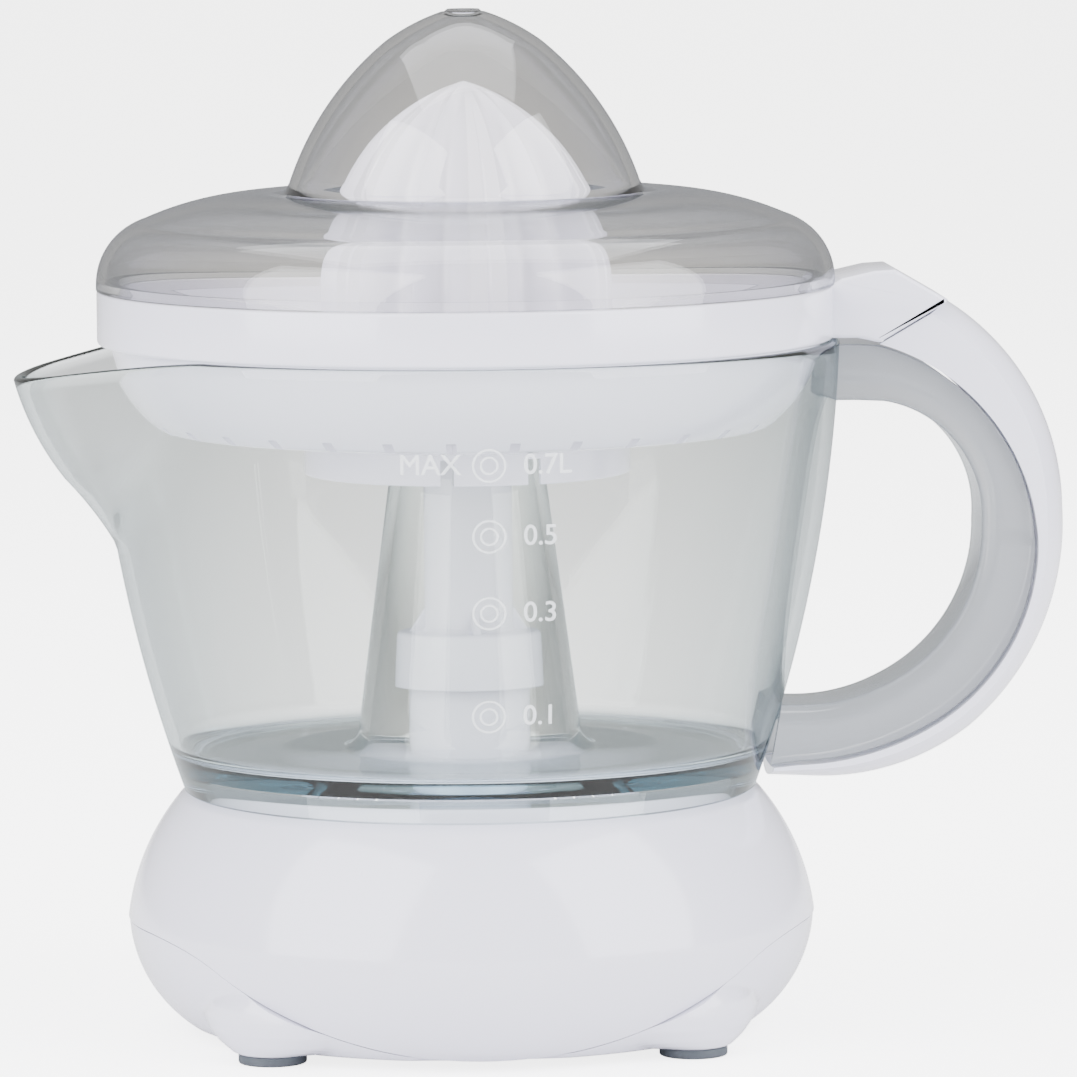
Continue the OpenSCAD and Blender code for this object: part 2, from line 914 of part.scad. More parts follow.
module handle_cover() {
    color("whitesmoke")
        difference() {
            upright(cover_w)
                polygon(concat([[82.4, 138.3]], cover_outer(), [[61, 50.6]], reversed(cover_inner())));
            upright(channel_w + 0.3)
                polygon(concat(
                    cover_outer(cover_shell), [[50, 52], [50, 64]],
                    reversed(grip_inner(-1)), [[70, 128], [80, 150], [92, 150]]));
            translate([0, 0, 40])
                cylinder(r = 59.5, h = 25);
        }
}

// ---------------------------------------------------------------- strainer

module strainer() {
    color("white")
        difference() {
            union() {
                rotate_extrude()
                    polygon(concat(
                        [[ring_r - ring_wall, ring_top_z], [ring_r, ring_top_z], [ring_r, ring_foot_z]],
                        bowl_side(),
                        [[skirt_r + 0.4, floor_centre_z + 0.2], [hub_bore_r, floor_centre_z - 0.4],
                         [hub_bore_r, hub_top_z - bowl_wall],
                         [spindle_hole_r, hub_top_z - bowl_wall], [spindle_hole_r, hub_top_z],
                         [hub_r, hub_top_z], [hub_r, floor_centre_z + bowl_wall - 0.4],
                         [skirt_r, floor_centre_z + bowl_wall + 0.2]],
                        reversed(bowl_side(bowl_wall)),
                        [[ring_r - ring_wall, ring_foot_z + 2]]));
                difference() {
                    ring(skirt_r, skirt_r - 2, skirt_low_z, floor_centre_z + 1);
                    rotate(-90 + tongue_turn)
                        for (s = [-1, 1])
                            translate([skirt_r, s * (tongue_half_w + tongue_gap / 2), skirt_low_z])
                                cube([10, tongue_gap, 2 * (floor_centre_z - skirt_low_z) - 1],
                                    center = true);
                }
                difference() {
                    upright(tab_w)
                        polygon([
                            [71, ring_foot_z], [71, ring_top_z], [75.2, 152.2], [81.4, 153.2],
                            [85.8, 153.5], [96.9, 147], [82.5, ring_foot_z]]);
                    translate([0, 0, ring_foot_z - 1])
                        cylinder(r = ring_r - ring_wall, h = 40);
                    translate([0, 0, ring_top_z])
                        cylinder(r = brim_r + 0.5, h = 40);
                }
            }
            for (i = [0:slot_count - 1])
                rotate((i + 0.5) * 360 / slot_count)
                    translate([slot_inner_r, -slot_w / 2, floor_centre_z - 2])
                        cube([slot_outer_r - slot_inner_r, slot_w, 9]);
        }
}

// ---------------------------------------------------------------- reamer

module reamer() {
    color("white")
        difference() {
            union() {
                rotate_extrude()
                    polygon(concat(reamer_side(core_share), [[0, rib_low_z]]));
                rotate_extrude()
                    polygon([
                        [0, reamer_low_z], [reamer_low_r, reamer_low_z], [reamer_low_r, 126.6],
                        [26, 129.2], [0, 129.2]]);
                for (i = [0:rib_count - 1])
                    rotate(-90 + rib_turn + i * 360 / rib_count) {
                        upright(3.2)
                            polygon(rib_outline(3, 1, 0));
                        rotate(180 / rib_count)
                            upright(2.2)
                                polygon(rib_outline(9, 0.93, 0.8));
                    }
            }
            difference() {
                rotate_extrude()
                    polygon(concat(
                        [[0, reamer_top_z - 7.5]],
                        [for (p = reamer_dome()) if (p.x > 5) [p.x * core_share - 2.4, p.y - 4.6]],
                        [[23.6, 138], [23.6, reamer_low_z - 1], [0, reamer_low_z - 1]]));
                translate([0, 0, socket_z])
                    cylinder(r = socket_r, h = big);
                for (i = [0:2])
                    rotate(i * 120)
                        translate([0, -0.9, 134])
                            cube([30, 1.8, 60]);
            }
            hex_bar(spindle_hex + 2 * slack, socket_z - 1, socket_top_z);
        }
}

// ---------------------------------------------------------------- dust cover

module dust_cover() {
    color([0.86, 0.88, 0.88, 0.4])
        rotate_extrude()
            polygon(concat(
                cover_side(),
                [[brim_r, ring_top_z + 0.1], [lip_r, ring_top_z + 0.1], [lip_r, ring_top_z - 2.7],
                 [lip_r - 1.6, ring_top_z - 2.7], [lip_r - 1.6, ring_top_z + 1.8]],
                [for (p = reversed(cover_side(cover_wall))) [max(0, p.x), p.y]]));
}

// ---------------------------------------------------------------- nodes

dust_cover();
reamer();
strainer();
jug();
handle_cover();
drive_spindle();
drive_shaft();
shaft_circlip();
return_spring();
output_gear();
intermediate_gear();
intermediate_axle();
motor_pinion();
motor_shaft();
rotor_magnet();
stator_core();
bobbin(1);  // bobbin_inner
bobbin(-1);  // bobbin_outer
winding(1);  // winding_inner
winding(-1);  // winding_outer
motor_bracket_upper();
motor_bracket_lower();
motor_bushes();
motor_screws();
gear_plate();
plate_screws();
lower_bush();
upper_bush();
microswitch();
switch_plunger();
upper_housing();
bottom_tray();
tray_screws();
rubber_feet();
cord_gland();
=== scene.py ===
"""Looks of the citrus press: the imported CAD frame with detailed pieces, materials, light and camera.

Lengths inside the piece builders are millimetres in the part's own frame and become metres when a
mesh is made. The spindle's axis is Z, the front is -Y, the spout -X and the handle +X.
"""

import math

import bmesh
import bpy
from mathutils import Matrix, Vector


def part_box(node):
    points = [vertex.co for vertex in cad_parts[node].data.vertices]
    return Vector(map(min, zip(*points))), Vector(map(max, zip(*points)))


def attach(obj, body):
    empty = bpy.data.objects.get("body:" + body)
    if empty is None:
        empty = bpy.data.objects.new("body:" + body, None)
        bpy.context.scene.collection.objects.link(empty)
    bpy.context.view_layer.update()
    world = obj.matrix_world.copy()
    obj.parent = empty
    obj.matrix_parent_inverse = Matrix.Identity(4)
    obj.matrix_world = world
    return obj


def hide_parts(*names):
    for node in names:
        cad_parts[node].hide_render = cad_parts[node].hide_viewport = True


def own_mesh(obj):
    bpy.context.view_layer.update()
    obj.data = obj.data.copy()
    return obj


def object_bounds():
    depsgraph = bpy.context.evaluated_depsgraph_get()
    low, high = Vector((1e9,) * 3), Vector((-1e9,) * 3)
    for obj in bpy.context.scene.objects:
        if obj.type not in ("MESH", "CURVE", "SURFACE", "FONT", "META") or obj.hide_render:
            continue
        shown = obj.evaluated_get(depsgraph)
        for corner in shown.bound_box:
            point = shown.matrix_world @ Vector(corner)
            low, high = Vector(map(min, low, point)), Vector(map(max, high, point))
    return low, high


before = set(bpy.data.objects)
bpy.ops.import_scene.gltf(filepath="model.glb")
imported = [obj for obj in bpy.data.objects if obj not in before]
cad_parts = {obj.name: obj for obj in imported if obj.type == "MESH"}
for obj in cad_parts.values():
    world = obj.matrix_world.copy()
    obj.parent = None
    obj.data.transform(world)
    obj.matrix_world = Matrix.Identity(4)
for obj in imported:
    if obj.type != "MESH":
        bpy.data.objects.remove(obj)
cad_low, cad_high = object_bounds()

MM = 0.001
STEPS = 240  # columns round a turned piece
SHARP = 35  # degrees; a fold sharper than this isn't smoothed over

# ------------------------------------------------------------------ sizes, from the frame


def lowest(node):
    """Lowest corner of a CAD node's box, in millimetres."""
    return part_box(node)[0] / MM


def highest(node):
    """Highest corner of a CAD node's box, in millimetres."""
    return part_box(node)[1] / MM


UNDERSIDE_Z = lowest("bottom_tray").z
BASE_R = highest("upper_housing").x
BASE_WIDE_Z = 23.3
LEDGE_R = 58.2  # ledge that the jug's foot stands on
LEDGE_Z = 48.6
PLATEAU_Z = 52.4  # raised disc inside the jug's foot
BOSS_R = 12.2  # tube under the spindle
BORE_R = 6.6
HOUSING_WALL = 2.3
BOSS_TOP_Z = highest("upper_housing").z
PLATE_R = 55.4  # flat round plate under the tray
SEAM_FLAT_X = 53.0  # where the seam between housing and tray turns up at the sides
SEAM_SIDE_Z = 18.6
FOOT_CIRCLE_R = 59.0
FOOT_H = UNDERSIDE_Z
FOOT_R = highest("rubber_feet").x - FOOT_CIRCLE_R * math.cos(math.pi / 4)
SEAM_GAP = 0.14  # half the line's width between housing and tray
TRAY_INSIDE_Z = 4.3
TRAY_HOLE_R = 3.5
TRAY_HOLE_CIRCLE_R = 52.0
JUG_WALL = 2.4
JUG_FLOOR_Z = 57.2
JUG_UNDER_Z = 54.2  # underside of the jug's floor
COLUMN_FOOT_Z = 62.5  # where the floor's curve ends and the tall column starts
JUG_FOOT_Z = lowest("jug").z
RIM_Z = 139.4
RIM_EDGE_R = 0.9  # half the thickness of the rim's rounded edge
SPOUT_FALL = 6.1  # how far the lip lies under the rim
RIM_R = highest("jug").y
SPOUT_NOSE_R = 31.0
RING_R = highest("strainer").y
RING_TOP_Z = 150.3
BRIM_R = highest("dust_cover").x
DOME_TOP_Z = highest("dust_cover").z
REAMER_TOP_Z = highest("reamer").z
REAMER_FOOT_Z = lowest("reamer").z
SPINDLE_TOP_Z = highest("drive_spindle").z
SPINDLE_FOOT_Z = lowest("drive_spindle").z
RIB_TURN = 5.8  # the reamer's first rib, from the front, in degrees
KEY_TURN = 5.5  # the spindle's first gusset and the strainer's gaps, likewise
SPRING_R = 6.0
SPRING_WIRE_R = 0.45
SPRING_LOW_Z = 47.5
SPRING_HIGH_Z = 55.5
FLOOR_GLOW = 4.0  # makes the floor read as white paper in the camera view
MANY_WALLS = 7.5  # ray depth past which clear plastic only glows


# ------------------------------------------------------------------ plane geometry


def centre_of(a, b, c):
    """Centre of the circle through three points of a plane."""
    d = 2 * (a[0] * (b[1] - c[1]) + b[0] * (c[1] - a[1]) + c[0] * (a[1] - b[1]))
    aa, bb, cc = (p[0] ** 2 + p[1] ** 2 for p in (a, b, c))
    x = (aa * (b[1] - c[1]) + bb * (c[1] - a[1]) + cc * (a[1] - b[1])) / d
    y = (aa * (c[0] - b[0]) + bb * (a[0] - c[0]) + cc * (b[0] - a[0])) / d
    return x, y


def arc(a, b, c, n=12):
    """Points along the circle from a through b to c."""
    x, y = centre_of(a, b, c)
    r = math.dist(a, (x, y))
    start, mid, end = (math.atan2(p[1] - y, p[0] - x) for p in (a, b, c))
    to_mid, to_end = (mid - start) % (2 * math.pi), (end - start) % (2 * math.pi)
    whole = to_end if to_mid < to_end else to_end - 2 * math.pi
    steps = [start + whole * i / n for i in range(n + 1)]
    return [(x + r * math.cos(t), y + r * math.sin(t)) for t in steps]


def joined(*stretches):
    """Stretches of outline one after another, without doubled points."""
    out = []
    for stretch in stretches:
        for p in stretch:
            if not out or math.dist(out[-1], p) > 1e-4:
                out.append(tuple(p))
    return out


def inset(path, d):
    """An open path moved to its left by d."""
    out = []
    for i, p in enumerate(path):
        a, b = Vector(path[max(i - 1, 0)]), Vector(path[min(i + 1, len(path) - 1)])
        t = (b - a).normalized()
        out.append((p[0] - t.y * d, p[1] + t.x * d))
    return out


def rounded(corners, n=5):
    """A closed outline from (x, y, radius) corners, with each corner rounded to its radius."""
    out = []
    for i, (x, y, r) in enumerate(corners):
        p = Vector((x, y))
        a, b = Vector(corners[i - 1][:2]) - p, Vector(corners[(i + 1) % len(corners)][:2]) - p
        if r <= 0 or a.length < 1e-6 or b.length < 1e-6:
            out.append((x, y))
            continue
        half = a.angle(b) / 2
        reach = min(r / max(math.tan(half), 1e-3), a.length * 0.49, b.length * 0.49)
        start, end = p + a.normalized() * reach, p + b.normalized() * reach
        for k in range(n + 1):
            t = k / n
            q = start * (1 - t) ** 2 + p * 2 * t * (1 - t) + end * t**2
            out.append((q.x, q.y))
    return out


def rounded_open(corners):
    """Like rounded(), for a stretch whose first and last corners stay sharp."""
    first, last = corners[0], corners[-1]
    closed = [(first[0], first[1], 0)] + list(corners[1:-1]) + [(last[0], last[1], 0)]
    return rounded(closed)


def inset_down(path, d):
    """The path moved inwards, to the right of its way down the side."""
    moved = inset(path, -d)
    out = [(0, path[0][1] - d)]
    for r, z in moved[1:]:
        if r > out[-1][0] + 0.02 or z < out[-1][1] - 0.02:
            out.append((r, z))
    return out


def resample(path, n):
    """n + 1 points at even spacing along a path."""
    lengths = [0.0]
    for a, b in zip(path, path[1:]):
        lengths.append(lengths[-1] + math.dist(a, b))
    out, k = [], 0
    for i in range(n + 1):
        target = lengths[-1] * i / n
        while k < len(path) - 2 and lengths[k + 1] < target:
            k += 1
        span = lengths[k + 1] - lengths[k]
        t = 0 if span == 0 else min(max((target - lengths[k]) / span, 0), 1)
        a, b = path[k], path[k + 1]
        out.append((a[0] + (b[0] - a[0]) * t, a[1] + (b[1] - a[1]) * t))
    return out


def at_height(path, z):
    """Radius of an upright path at a height."""
    for (r0, z0), (r1, z1) in zip(path, path[1:]):
        if min(z0, z1) <= z <= max(z0, z1) and abs(z1 - z0) > 1e-9:
            return r0 + (r1 - r0) * (z - z0) / (z1 - z0)
    ends = sorted(path, key=lambda p: abs(p[1] - z))
    return ends[0][0]


def smooth(t):
    """Eases from 0 to 1."""
    t = min(max(t, 0.0), 1.0)
    return t * t * (3 - 2 * t)


# ------------------------------------------------------------------ mesh helpers


def finish_mesh(name, bm, sharp=SHARP):
    """Cleans a mesh, shades it smooth between sharp folds and puts it in the scene."""
    bmesh.ops.remove_doubles(bm, verts=bm.verts, dist=1e-7)
    bmesh.ops.dissolve_degenerate(bm, edges=bm.edges, dist=1e-8)
    bmesh.ops.recalc_face_normals(bm, faces=bm.faces)
    mesh = bpy.data.meshes.new(name)
    bm.to_mesh(mesh)
    bm.free()
    mesh.shade_smooth()
    mesh.set_sharp_from_angle(angle=math.radians(sharp))
    obj = bpy.data.objects.new(name, mesh)
    bpy.context.scene.collection.objects.link(obj)
    return obj


def rings(name, rows, close=True, sharp=SHARP):
    """A surface through rows of points in millimetres; a row of one point is a pole."""
    bm = bmesh.new()
    made = [[bm.verts.new(Vector(p) * MM) for p in row] for row in rows]
    pairs = list(zip(made, made[1:]))
    if close:
        pairs.append((made[-1], made[0]))
    for low, high in pairs:
        if len(low) == 1 and len(high) == 1:
            continue
        n = max(len(low), len(high))
        for i in range(n):
            j = (i + 1) % n
            if len(low) == 1:
                bm.faces.new((low[0], high[j], high[i]))
            elif len(high) == 1:
                bm.faces.new((low[i], low[j], high[0]))
            else:
                bm.faces.new((low[i], low[j], high[j], high[i]))
    return finish_mesh(name, bm, sharp)


def turns(steps=STEPS):
    """Evenly spaced directions round the axis."""
    return [2 * math.pi * i / steps for i in range(steps)]


def circle_row(r, z, steps=STEPS):
    """A level circle of points, or one point on the axis."""
    if r < 1e-6:
        return [(0, 0, z)]
    return [(r * math.cos(t), r * math.sin(t), z) for t in turns(steps)]


def lathe(name, profile, steps=STEPS, close=True, sharp=SHARP):
    """A profile of (radius, height) points turned round the axis."""
    return rings(name, [circle_row(r, z, steps) for r, z in profile], close, sharp)


def slab(name, outline, low, high, bevel=0.0, segments=3):
    """An outline in X and Z, extruded along Y from low to high, with rounded edges."""
    bm = bmesh.new()
    face = bm.faces.new([bm.verts.new((x * MM, low * MM, z * MM)) for x, z in outline])
    moved = bmesh.ops.extrude_face_region(bm, geom=[face])["geom"]
    for v in moved:
        if isinstance(v, bmesh.types.BMVert):
            v.co.y = high * MM
    bmesh.ops.recalc_face_normals(bm, faces=bm.faces)
    if bevel:
        rims = [e for e in bm.edges if abs(e.verts[0].co.y - e.verts[1].co.y) < 1e-9]
        bmesh.ops.bevel(
            bm, geom=rims, offset=bevel * MM, segments=segments, profile=0.5, affect="EDGES"
        )
    return finish_mesh(name, bm)


def box_piece(name, low, high):
    """A box between two corners."""
    bm = bmesh.new()
    bmesh.ops.create_cube(bm, size=1)
    for v in bm.verts:
        for k in range(3):
            v.co[k] = (low[k] if v.co[k] < 0 else high[k]) * MM
    return finish_mesh(name, bm)


def combine(name, parts):
    """Joins pieces into one object, as loose shells of one mesh."""
    bm = bmesh.new()
    for part in parts:
        part.data.transform(part.matrix_world)
        bm.from_mesh(part.data)
        bpy.data.objects.remove(part)
    return finish_mesh(name, bm)


def carve(obj, cutter):
    """Cuts one piece out of another and drops the cutter."""
    step = obj.modifiers.new("carve", "BOOLEAN")
    step.operation = "DIFFERENCE"
    step.solver = "EXACT"
    step.object = cutter
    step.use_self = True
    bpy.context.view_layer.update()
    made = bpy.data.meshes.new_from_object(
        obj.evaluated_get(bpy.context.evaluated_depsgraph_get())
    )
    obj.modifiers.clear()
    obj.data = made
    made.shade_smooth()
    made.set_sharp_from_angle(angle=math.radians(SHARP))
    bpy.data.objects.remove(cutter)
    return obj


# ------------------------------------------------------------------ materials


def new_material(name):
    """An empty node material."""
    mat = bpy.data.materials.new(name)
    mat.use_nodes = True
    nodes, links = mat.node_tree.nodes, mat.node_tree.links
    nodes.clear()
    return mat, nodes, links


def moulded(name, colour, roughness=0.25, grain=0.02, scale=900, coat=0.25):
    """Moulded plastic or rubber: slight tone drift, fine surface grain and an even sheen."""
    mat, nodes, links = new_material(name)
    out = nodes.new("ShaderNodeOutputMaterial")
    body = nodes.new("ShaderNodeBsdfPrincipled")
    place = nodes.new("ShaderNodeTexCoord")
    drift = nodes.new("ShaderNodeTexNoise")
    drift.inputs["Scale"].default_value = 22
    drift.inputs["Detail"].default_value = 2
    tones = nodes.new("ShaderNodeValToRGB")
    dark = [c * 0.98 for c in colour]
    tones.color_ramp.elements[0].color = (*dark, 1)
    tones.color_ramp.elements[1].color = (*colour, 1)
    fine = nodes.new("ShaderNodeTexNoise")
    fine.inputs["Scale"].default_value = scale
    fine.inputs["Detail"].default_value = 3
    bump = nodes.new("ShaderNodeBump")
    bump.inputs["Strength"].default_value = grain
    bump.inputs["Distance"].default_value = 0.0005
    sheen = nodes.new("ShaderNodeMapRange")
    sheen.inputs["To Min"].default_value = roughness * 0.9
    sheen.inputs["To Max"].default_value = roughness * 1.12
    links.new(place.outputs["Object"], drift.inputs["Vector"])
    links.new(place.outputs["Object"], fine.inputs["Vector"])
    links.new(drift.outputs["Fac"], tones.inputs["Fac"])
    links.new(drift.outputs["Fac"], sheen.inputs["Value"])
    links.new(sheen.outputs["Result"], body.inputs["Roughness"])
    links.new(tones.outputs["Color"], body.inputs["Base Color"])
    links.new(fine.outputs["Fac"], bump.inputs["Height"])
    links.new(bump.outputs["Normal"], body.inputs["Normal"])
    body.inputs["Coat Weight"].default_value = coat
    body.inputs["Coat Roughness"].default_value = 0.08
    links.new(body.outputs["BSDF"], out.inputs["Surface"])
    return mat


def clear_plastic(name, face_tint, edge_tint_and_shade, body_tint=None, haze_and_painted_shade=0.0):
    """Clear plastic, darker towards its edges, that casts only a light shadow; the darker edge colour
    is partly the plastic's tint and partly painted shade for dark reflections.

    A ray that has gone through many walls ends in a dull glow, so thick corners don't turn black.
    """
    mat, nodes, links = new_material(name)
    out = nodes.new("ShaderNodeOutputMaterial")
    glass = nodes.new("ShaderNodeBsdfGlass")
    glass.inputs["IOR"].default_value = 1.47
    place = nodes.new("ShaderNodeTexCoord")
    noise = nodes.new("ShaderNodeTexNoise")
    noise.inputs["Scale"].default_value = 35
    rough = nodes.new("ShaderNodeMapRange")
    rough.inputs["To Min"].default_value = 0.0
    rough.inputs["To Max"].default_value = 0.03
    # The edge colour, blended in towards grazing angles, is partly the plastic's own tint and partly
    # painted shade standing in for dark reflections at the edges.
    facing = nodes.new("ShaderNodeLayerWeight")
    facing.inputs["Blend"].default_value = 0.22
    facing_tint_and_shade = nodes.new("ShaderNodeMix")
    facing_tint_and_shade.data_type = "RGBA"
    colour_inputs = [i for i in facing_tint_and_shade.inputs if i.type == "RGBA"]
    colour_inputs[0].default_value = (*face_tint, 1)
    colour_inputs[1].default_value = (*edge_tint_and_shade, 1)
    tinted_and_shaded = next(o for o in facing_tint_and_shade.outputs if o.type == "RGBA")
    through = nodes.new("ShaderNodeBsdfTransparent")
    through.inputs["Color"].default_value = (*face_tint, 1)
    glow = nodes.new("ShaderNodeEmission")
    glow.inputs["Color"].default_value = (0.36, 0.46, 0.5, 1)
    rays = nodes.new("ShaderNodeLightPath")
    deep = nodes.new("ShaderNodeMath")
    deep.operation = "GREATER_THAN"
    deep.inputs[1].default_value = MANY_WALLS
    either = nodes.new("ShaderNodeMath")
    either.operation = "MAXIMUM"
    mix = nodes.new("ShaderNodeMixShader")
    last = nodes.new("ShaderNodeMixShader")
    links.new(place.outputs["Object"], noise.inputs["Vector"])
    links.new(noise.outputs["Fac"], rough.inputs["Value"])
    links.new(rough.outputs["Result"], glass.inputs["Roughness"])
    links.new(facing.outputs["Facing"], facing_tint_and_shade.inputs["Factor"])
    links.new(tinted_and_shaded, glass.inputs["Color"])
    links.new(rays.outputs["Is Shadow Ray"], either.inputs[0])
    links.new(rays.outputs["Is Diffuse Ray"], either.inputs[1])
    links.new(rays.outputs["Ray Depth"], deep.inputs[0])
    links.new(deep.outputs["Value"], last.inputs["Fac"])
    links.new(glass.outputs["BSDF"], last.inputs[1])
    links.new(glow.outputs["Emission"], last.inputs[2])
    links.new(either.outputs["Value"], mix.inputs["Fac"])
    links.new(last.outputs["Shader"], mix.inputs[1])
    links.new(through.outputs["BSDF"], mix.inputs[2])
    links.new(mix.outputs["Shader"], out.inputs["Surface"])
    if body_tint:
        depth = nodes.new("ShaderNodeVolumeAbsorption")
        depth.inputs["Color"].default_value = (*body_tint, 1)
        depth.inputs["Density"].default_value = 26
        links.new(depth.outputs["Volume"], out.inputs["Volume"])
    # An optional grey opaque layer: painted shade, for the shadowed inside of the handle's channel
    # under its cover.
    if haze_and_painted_shade:
        painted_shade_grey = nodes.new("ShaderNodeBsdfPrincipled")
        painted_shade_grey.inputs["Base Color"].default_value = (0.36, 0.375, 0.4, 1)
        painted_shade_grey.inputs["Roughness"].default_value = 0.12
        painted_shade_mix = nodes.new("ShaderNodeMixShader")
        painted_shade_mix.inputs["Fac"].default_value = haze_and_painted_shade
        links.new(mix.outputs["Shader"], painted_shade_mix.inputs[1])
        links.new(painted_shade_grey.outputs["BSDF"], painted_shade_mix.inputs[2])
        links.new(painted_shade_mix.outputs["Shader"], out.inputs["Surface"])
    return mat


def etched(name):
    """Raised clear lettering: half white haze, half see-through."""
    mat, nodes, links = new_material(name)
    out = nodes.new("ShaderNodeOutputMaterial")
    haze_and_painted_shade = nodes.new("ShaderNodeBsdfPrincipled")
    haze_and_painted_shade.inputs["Base Color"].default_value = (0.9, 0.92, 0.94, 1)
    haze_and_painted_shade.inputs["Roughness"].default_value = 0.15
    place = nodes.new("ShaderNodeTexCoord")
    noise = nodes.new("ShaderNodeTexNoise")
    noise.inputs["Scale"].default_value = 300
    share = nodes.new("ShaderNodeMapRange")
    share.inputs["To Min"].default_value = 0.45
    share.inputs["To Max"].default_value = 0.65
    through = nodes.new("ShaderNodeBsdfTransparent")
    through.inputs["Color"].default_value = (0.97, 0.98, 0.98, 1)
    mix = nodes.new("ShaderNodeMixShader")
    links.new(place.outputs["Object"], noise.inputs["Vector"])
    links.new(noise.outputs["Fac"], share.inputs["Value"])
    links.new(share.outputs["Result"], mix.inputs["Fac"])
    links.new(through.outputs["BSDF"], mix.inputs[1])
    links.new(haze_and_painted_shade.outputs["BSDF"], mix.inputs[2])
    links.new(mix.outputs["Shader"], out.inputs["Surface"])
    return mat


def metal(name, colour, roughness=0.3, stretch=(1, 1, 40)):
    """Turned or drawn metal with fine directional marks."""
    mat, nodes, links = new_material(name)
    out = nodes.new("ShaderNodeOutputMaterial")
    body = nodes.new("ShaderNodeBsdfPrincipled")
    body.inputs["Metallic"].default_value = 1
    body.inputs["Base Color"].default_value = (*colour, 1)
    place = nodes.new("ShaderNodeTexCoord")
    shape = nodes.new("ShaderNodeMapping")
    shape.inputs["Scale"].default_value = stretch
    noise = nodes.new("ShaderNodeTexNoise")
    noise.inputs["Scale"].default_value = 160
    rough = nodes.new("ShaderNodeMapRange")
    rough.inputs["To Min"].default_value = roughness * 0.7
    rough.inputs["To Max"].default_value = roughness * 1.3
    bump = nodes.new("ShaderNodeBump")
    bump.inputs["Strength"].default_value = 0.08
    bump.inputs["Distance"].default_value = 0.0003
    links.new(place.outputs["Object"], shape.inputs["Vector"])
    links.new(shape.outputs["Vector"], noise.inputs["Vector"])
    links.new(noise.outputs["Fac"], rough.inputs["Value"])
    links.new(noise.outputs["Fac"], bump.inputs["Height"])
    links.new(rough.outputs["Result"], body.inputs["Roughness"])
    links.new(bump.outputs["Normal"], body.inputs["Normal"])
    links.new(body.outputs["BSDF"], out.inputs["Surface"])
    return mat


WHITE = moulded("white_gloss_plastic", (0.74, 0.735, 0.845), 0.18, coat=0.6)
SATIN_WHITE = moulded("white_satin_plastic", (0.75, 0.745, 0.85), 0.3, coat=0.3)
RUBBER = moulded("dark_rubber", (0.055, 0.065, 0.08), 0.6, grain=0.15, scale=500, coat=0)
BLACK = moulded("black_plastic", (0.02, 0.02, 0.022), 0.4, grain=0.1, scale=700, coat=0)
RED = moulded("red_plastic", (0.5, 0.03, 0.02), 0.35)
GEAR = moulded("acetal", (0.78, 0.75, 0.66), 0.35, coat=0)
COPPER = moulded("enamelled_winding", (0.36, 0.12, 0.04), 0.3, grain=0.5, scale=1500, coat=0.5)
MAGNET = moulded("ferrite", (0.06, 0.06, 0.065), 0.5, grain=0.2, scale=600, coat=0)
STEEL = metal("steel", (0.56, 0.57, 0.58), 0.22)
ZINC = metal("zinc_plated_steel", (0.66, 0.66, 0.67), 0.35, (1, 8, 1))
BRONZE = metal("sintered_bronze", (0.55, 0.36, 0.17), 0.42)
LAMINATION = metal("laminated_iron", (0.35, 0.36, 0.38), 0.45, (1, 1, 90))
# Each clear plastic's second colour is its edge colour: partly its tint, partly painted shade.
CLEAR = clear_plastic(
    "clear_jug_plastic", (0.992, 0.988, 0.976), (0.42, 0.49, 0.52), body_tint=(0.3, 0.62, 0.74)
)
# The handle's greyer face colour and its grey opaque mix are painted shade of the channel's shadowed
# inside.
CHANNEL_CLEAR = clear_plastic(
    "clear_handle_plastic", (0.95, 0.955, 0.96), (0.42, 0.5, 0.54), haze_and_painted_shade=0.5
)
COVER_CLEAR = clear_plastic("clear_cover_plastic", (0.986, 0.98, 0.965), (0.4, 0.43, 0.5))
MARKING = etched("raised_marking")


def dress(obj, material):
    """Gives a piece one material."""
    obj.data.materials.clear()
    obj.data.materials.append(material)
    return obj


def stand_for(obj, body, slot, material, *nodes):
    """A detailed piece that rides on a body and takes the place of CAD nodes."""
    dress(obj, material)
    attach(obj, body)
    if nodes:
        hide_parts(*nodes)
    return obj


# ------------------------------------------------------------------ base


def base_path():
    """Side of the base from its underside up to the ledge."""
    return joined(
        arc((57.4, UNDERSIDE_Z), (65.3, 9.8), (BASE_R, BASE_WIDE_Z), 24),
        arc((BASE_R, BASE_WIDE_Z), (66.4, 35.5), (LEDGE_R, LEDGE_Z), 30),
    )


BASE_SIDE = base_path()


def seam_height(x):
    """Height of the line between housing and tray at a distance from the middle plane."""
    x = abs(x)
    low = centre_of((-SEAM_FLAT_X, SEAM_SIDE_Z), (0, UNDERSIDE_Z), (SEAM_FLAT_X, SEAM_SIDE_Z))
    side = centre_of((SEAM_FLAT_X, SEAM_SIDE_Z), (60.5, 22.3), (BASE_R + 1, BASE_WIDE_Z))
    if x <= SEAM_FLAT_X:
        r = low[1] - UNDERSIDE_Z
        return low[1] - math.sqrt(max(r * r - x * x, 0))
    r = math.dist(side, (SEAM_FLAT_X, SEAM_SIDE_Z))
    return side[1] + math.sqrt(max(r * r - (x - side[0]) ** 2, 0))


def seam_at(turn):
    """Height at which the seam crosses the base's side in a direction."""
    low, high = UNDERSIDE_Z, BASE_WIDE_Z
    for _ in range(24):
        mid = (low + high) / 2
        if seam_height(at_height(BASE_SIDE, mid) * math.cos(turn)) > mid:
            low = mid
        else:
            high = mid
    return (low + high) / 2


# A leg's bulge at each height: how far it reaches from the axis, and the radius of its round nose.
POD_REACH = [(66.2, 1.9), (67.4, 4), (68.5, 6.5), (69.2, 9), (69.1, 12), (67.4, 15), (65, 17)]
POD_WIDTH = [(7.4, 1.9), (12, 3), (16, 4.2), (20, 6.4), (21, 9), (18, 12), (12, 15), (8, 17)]


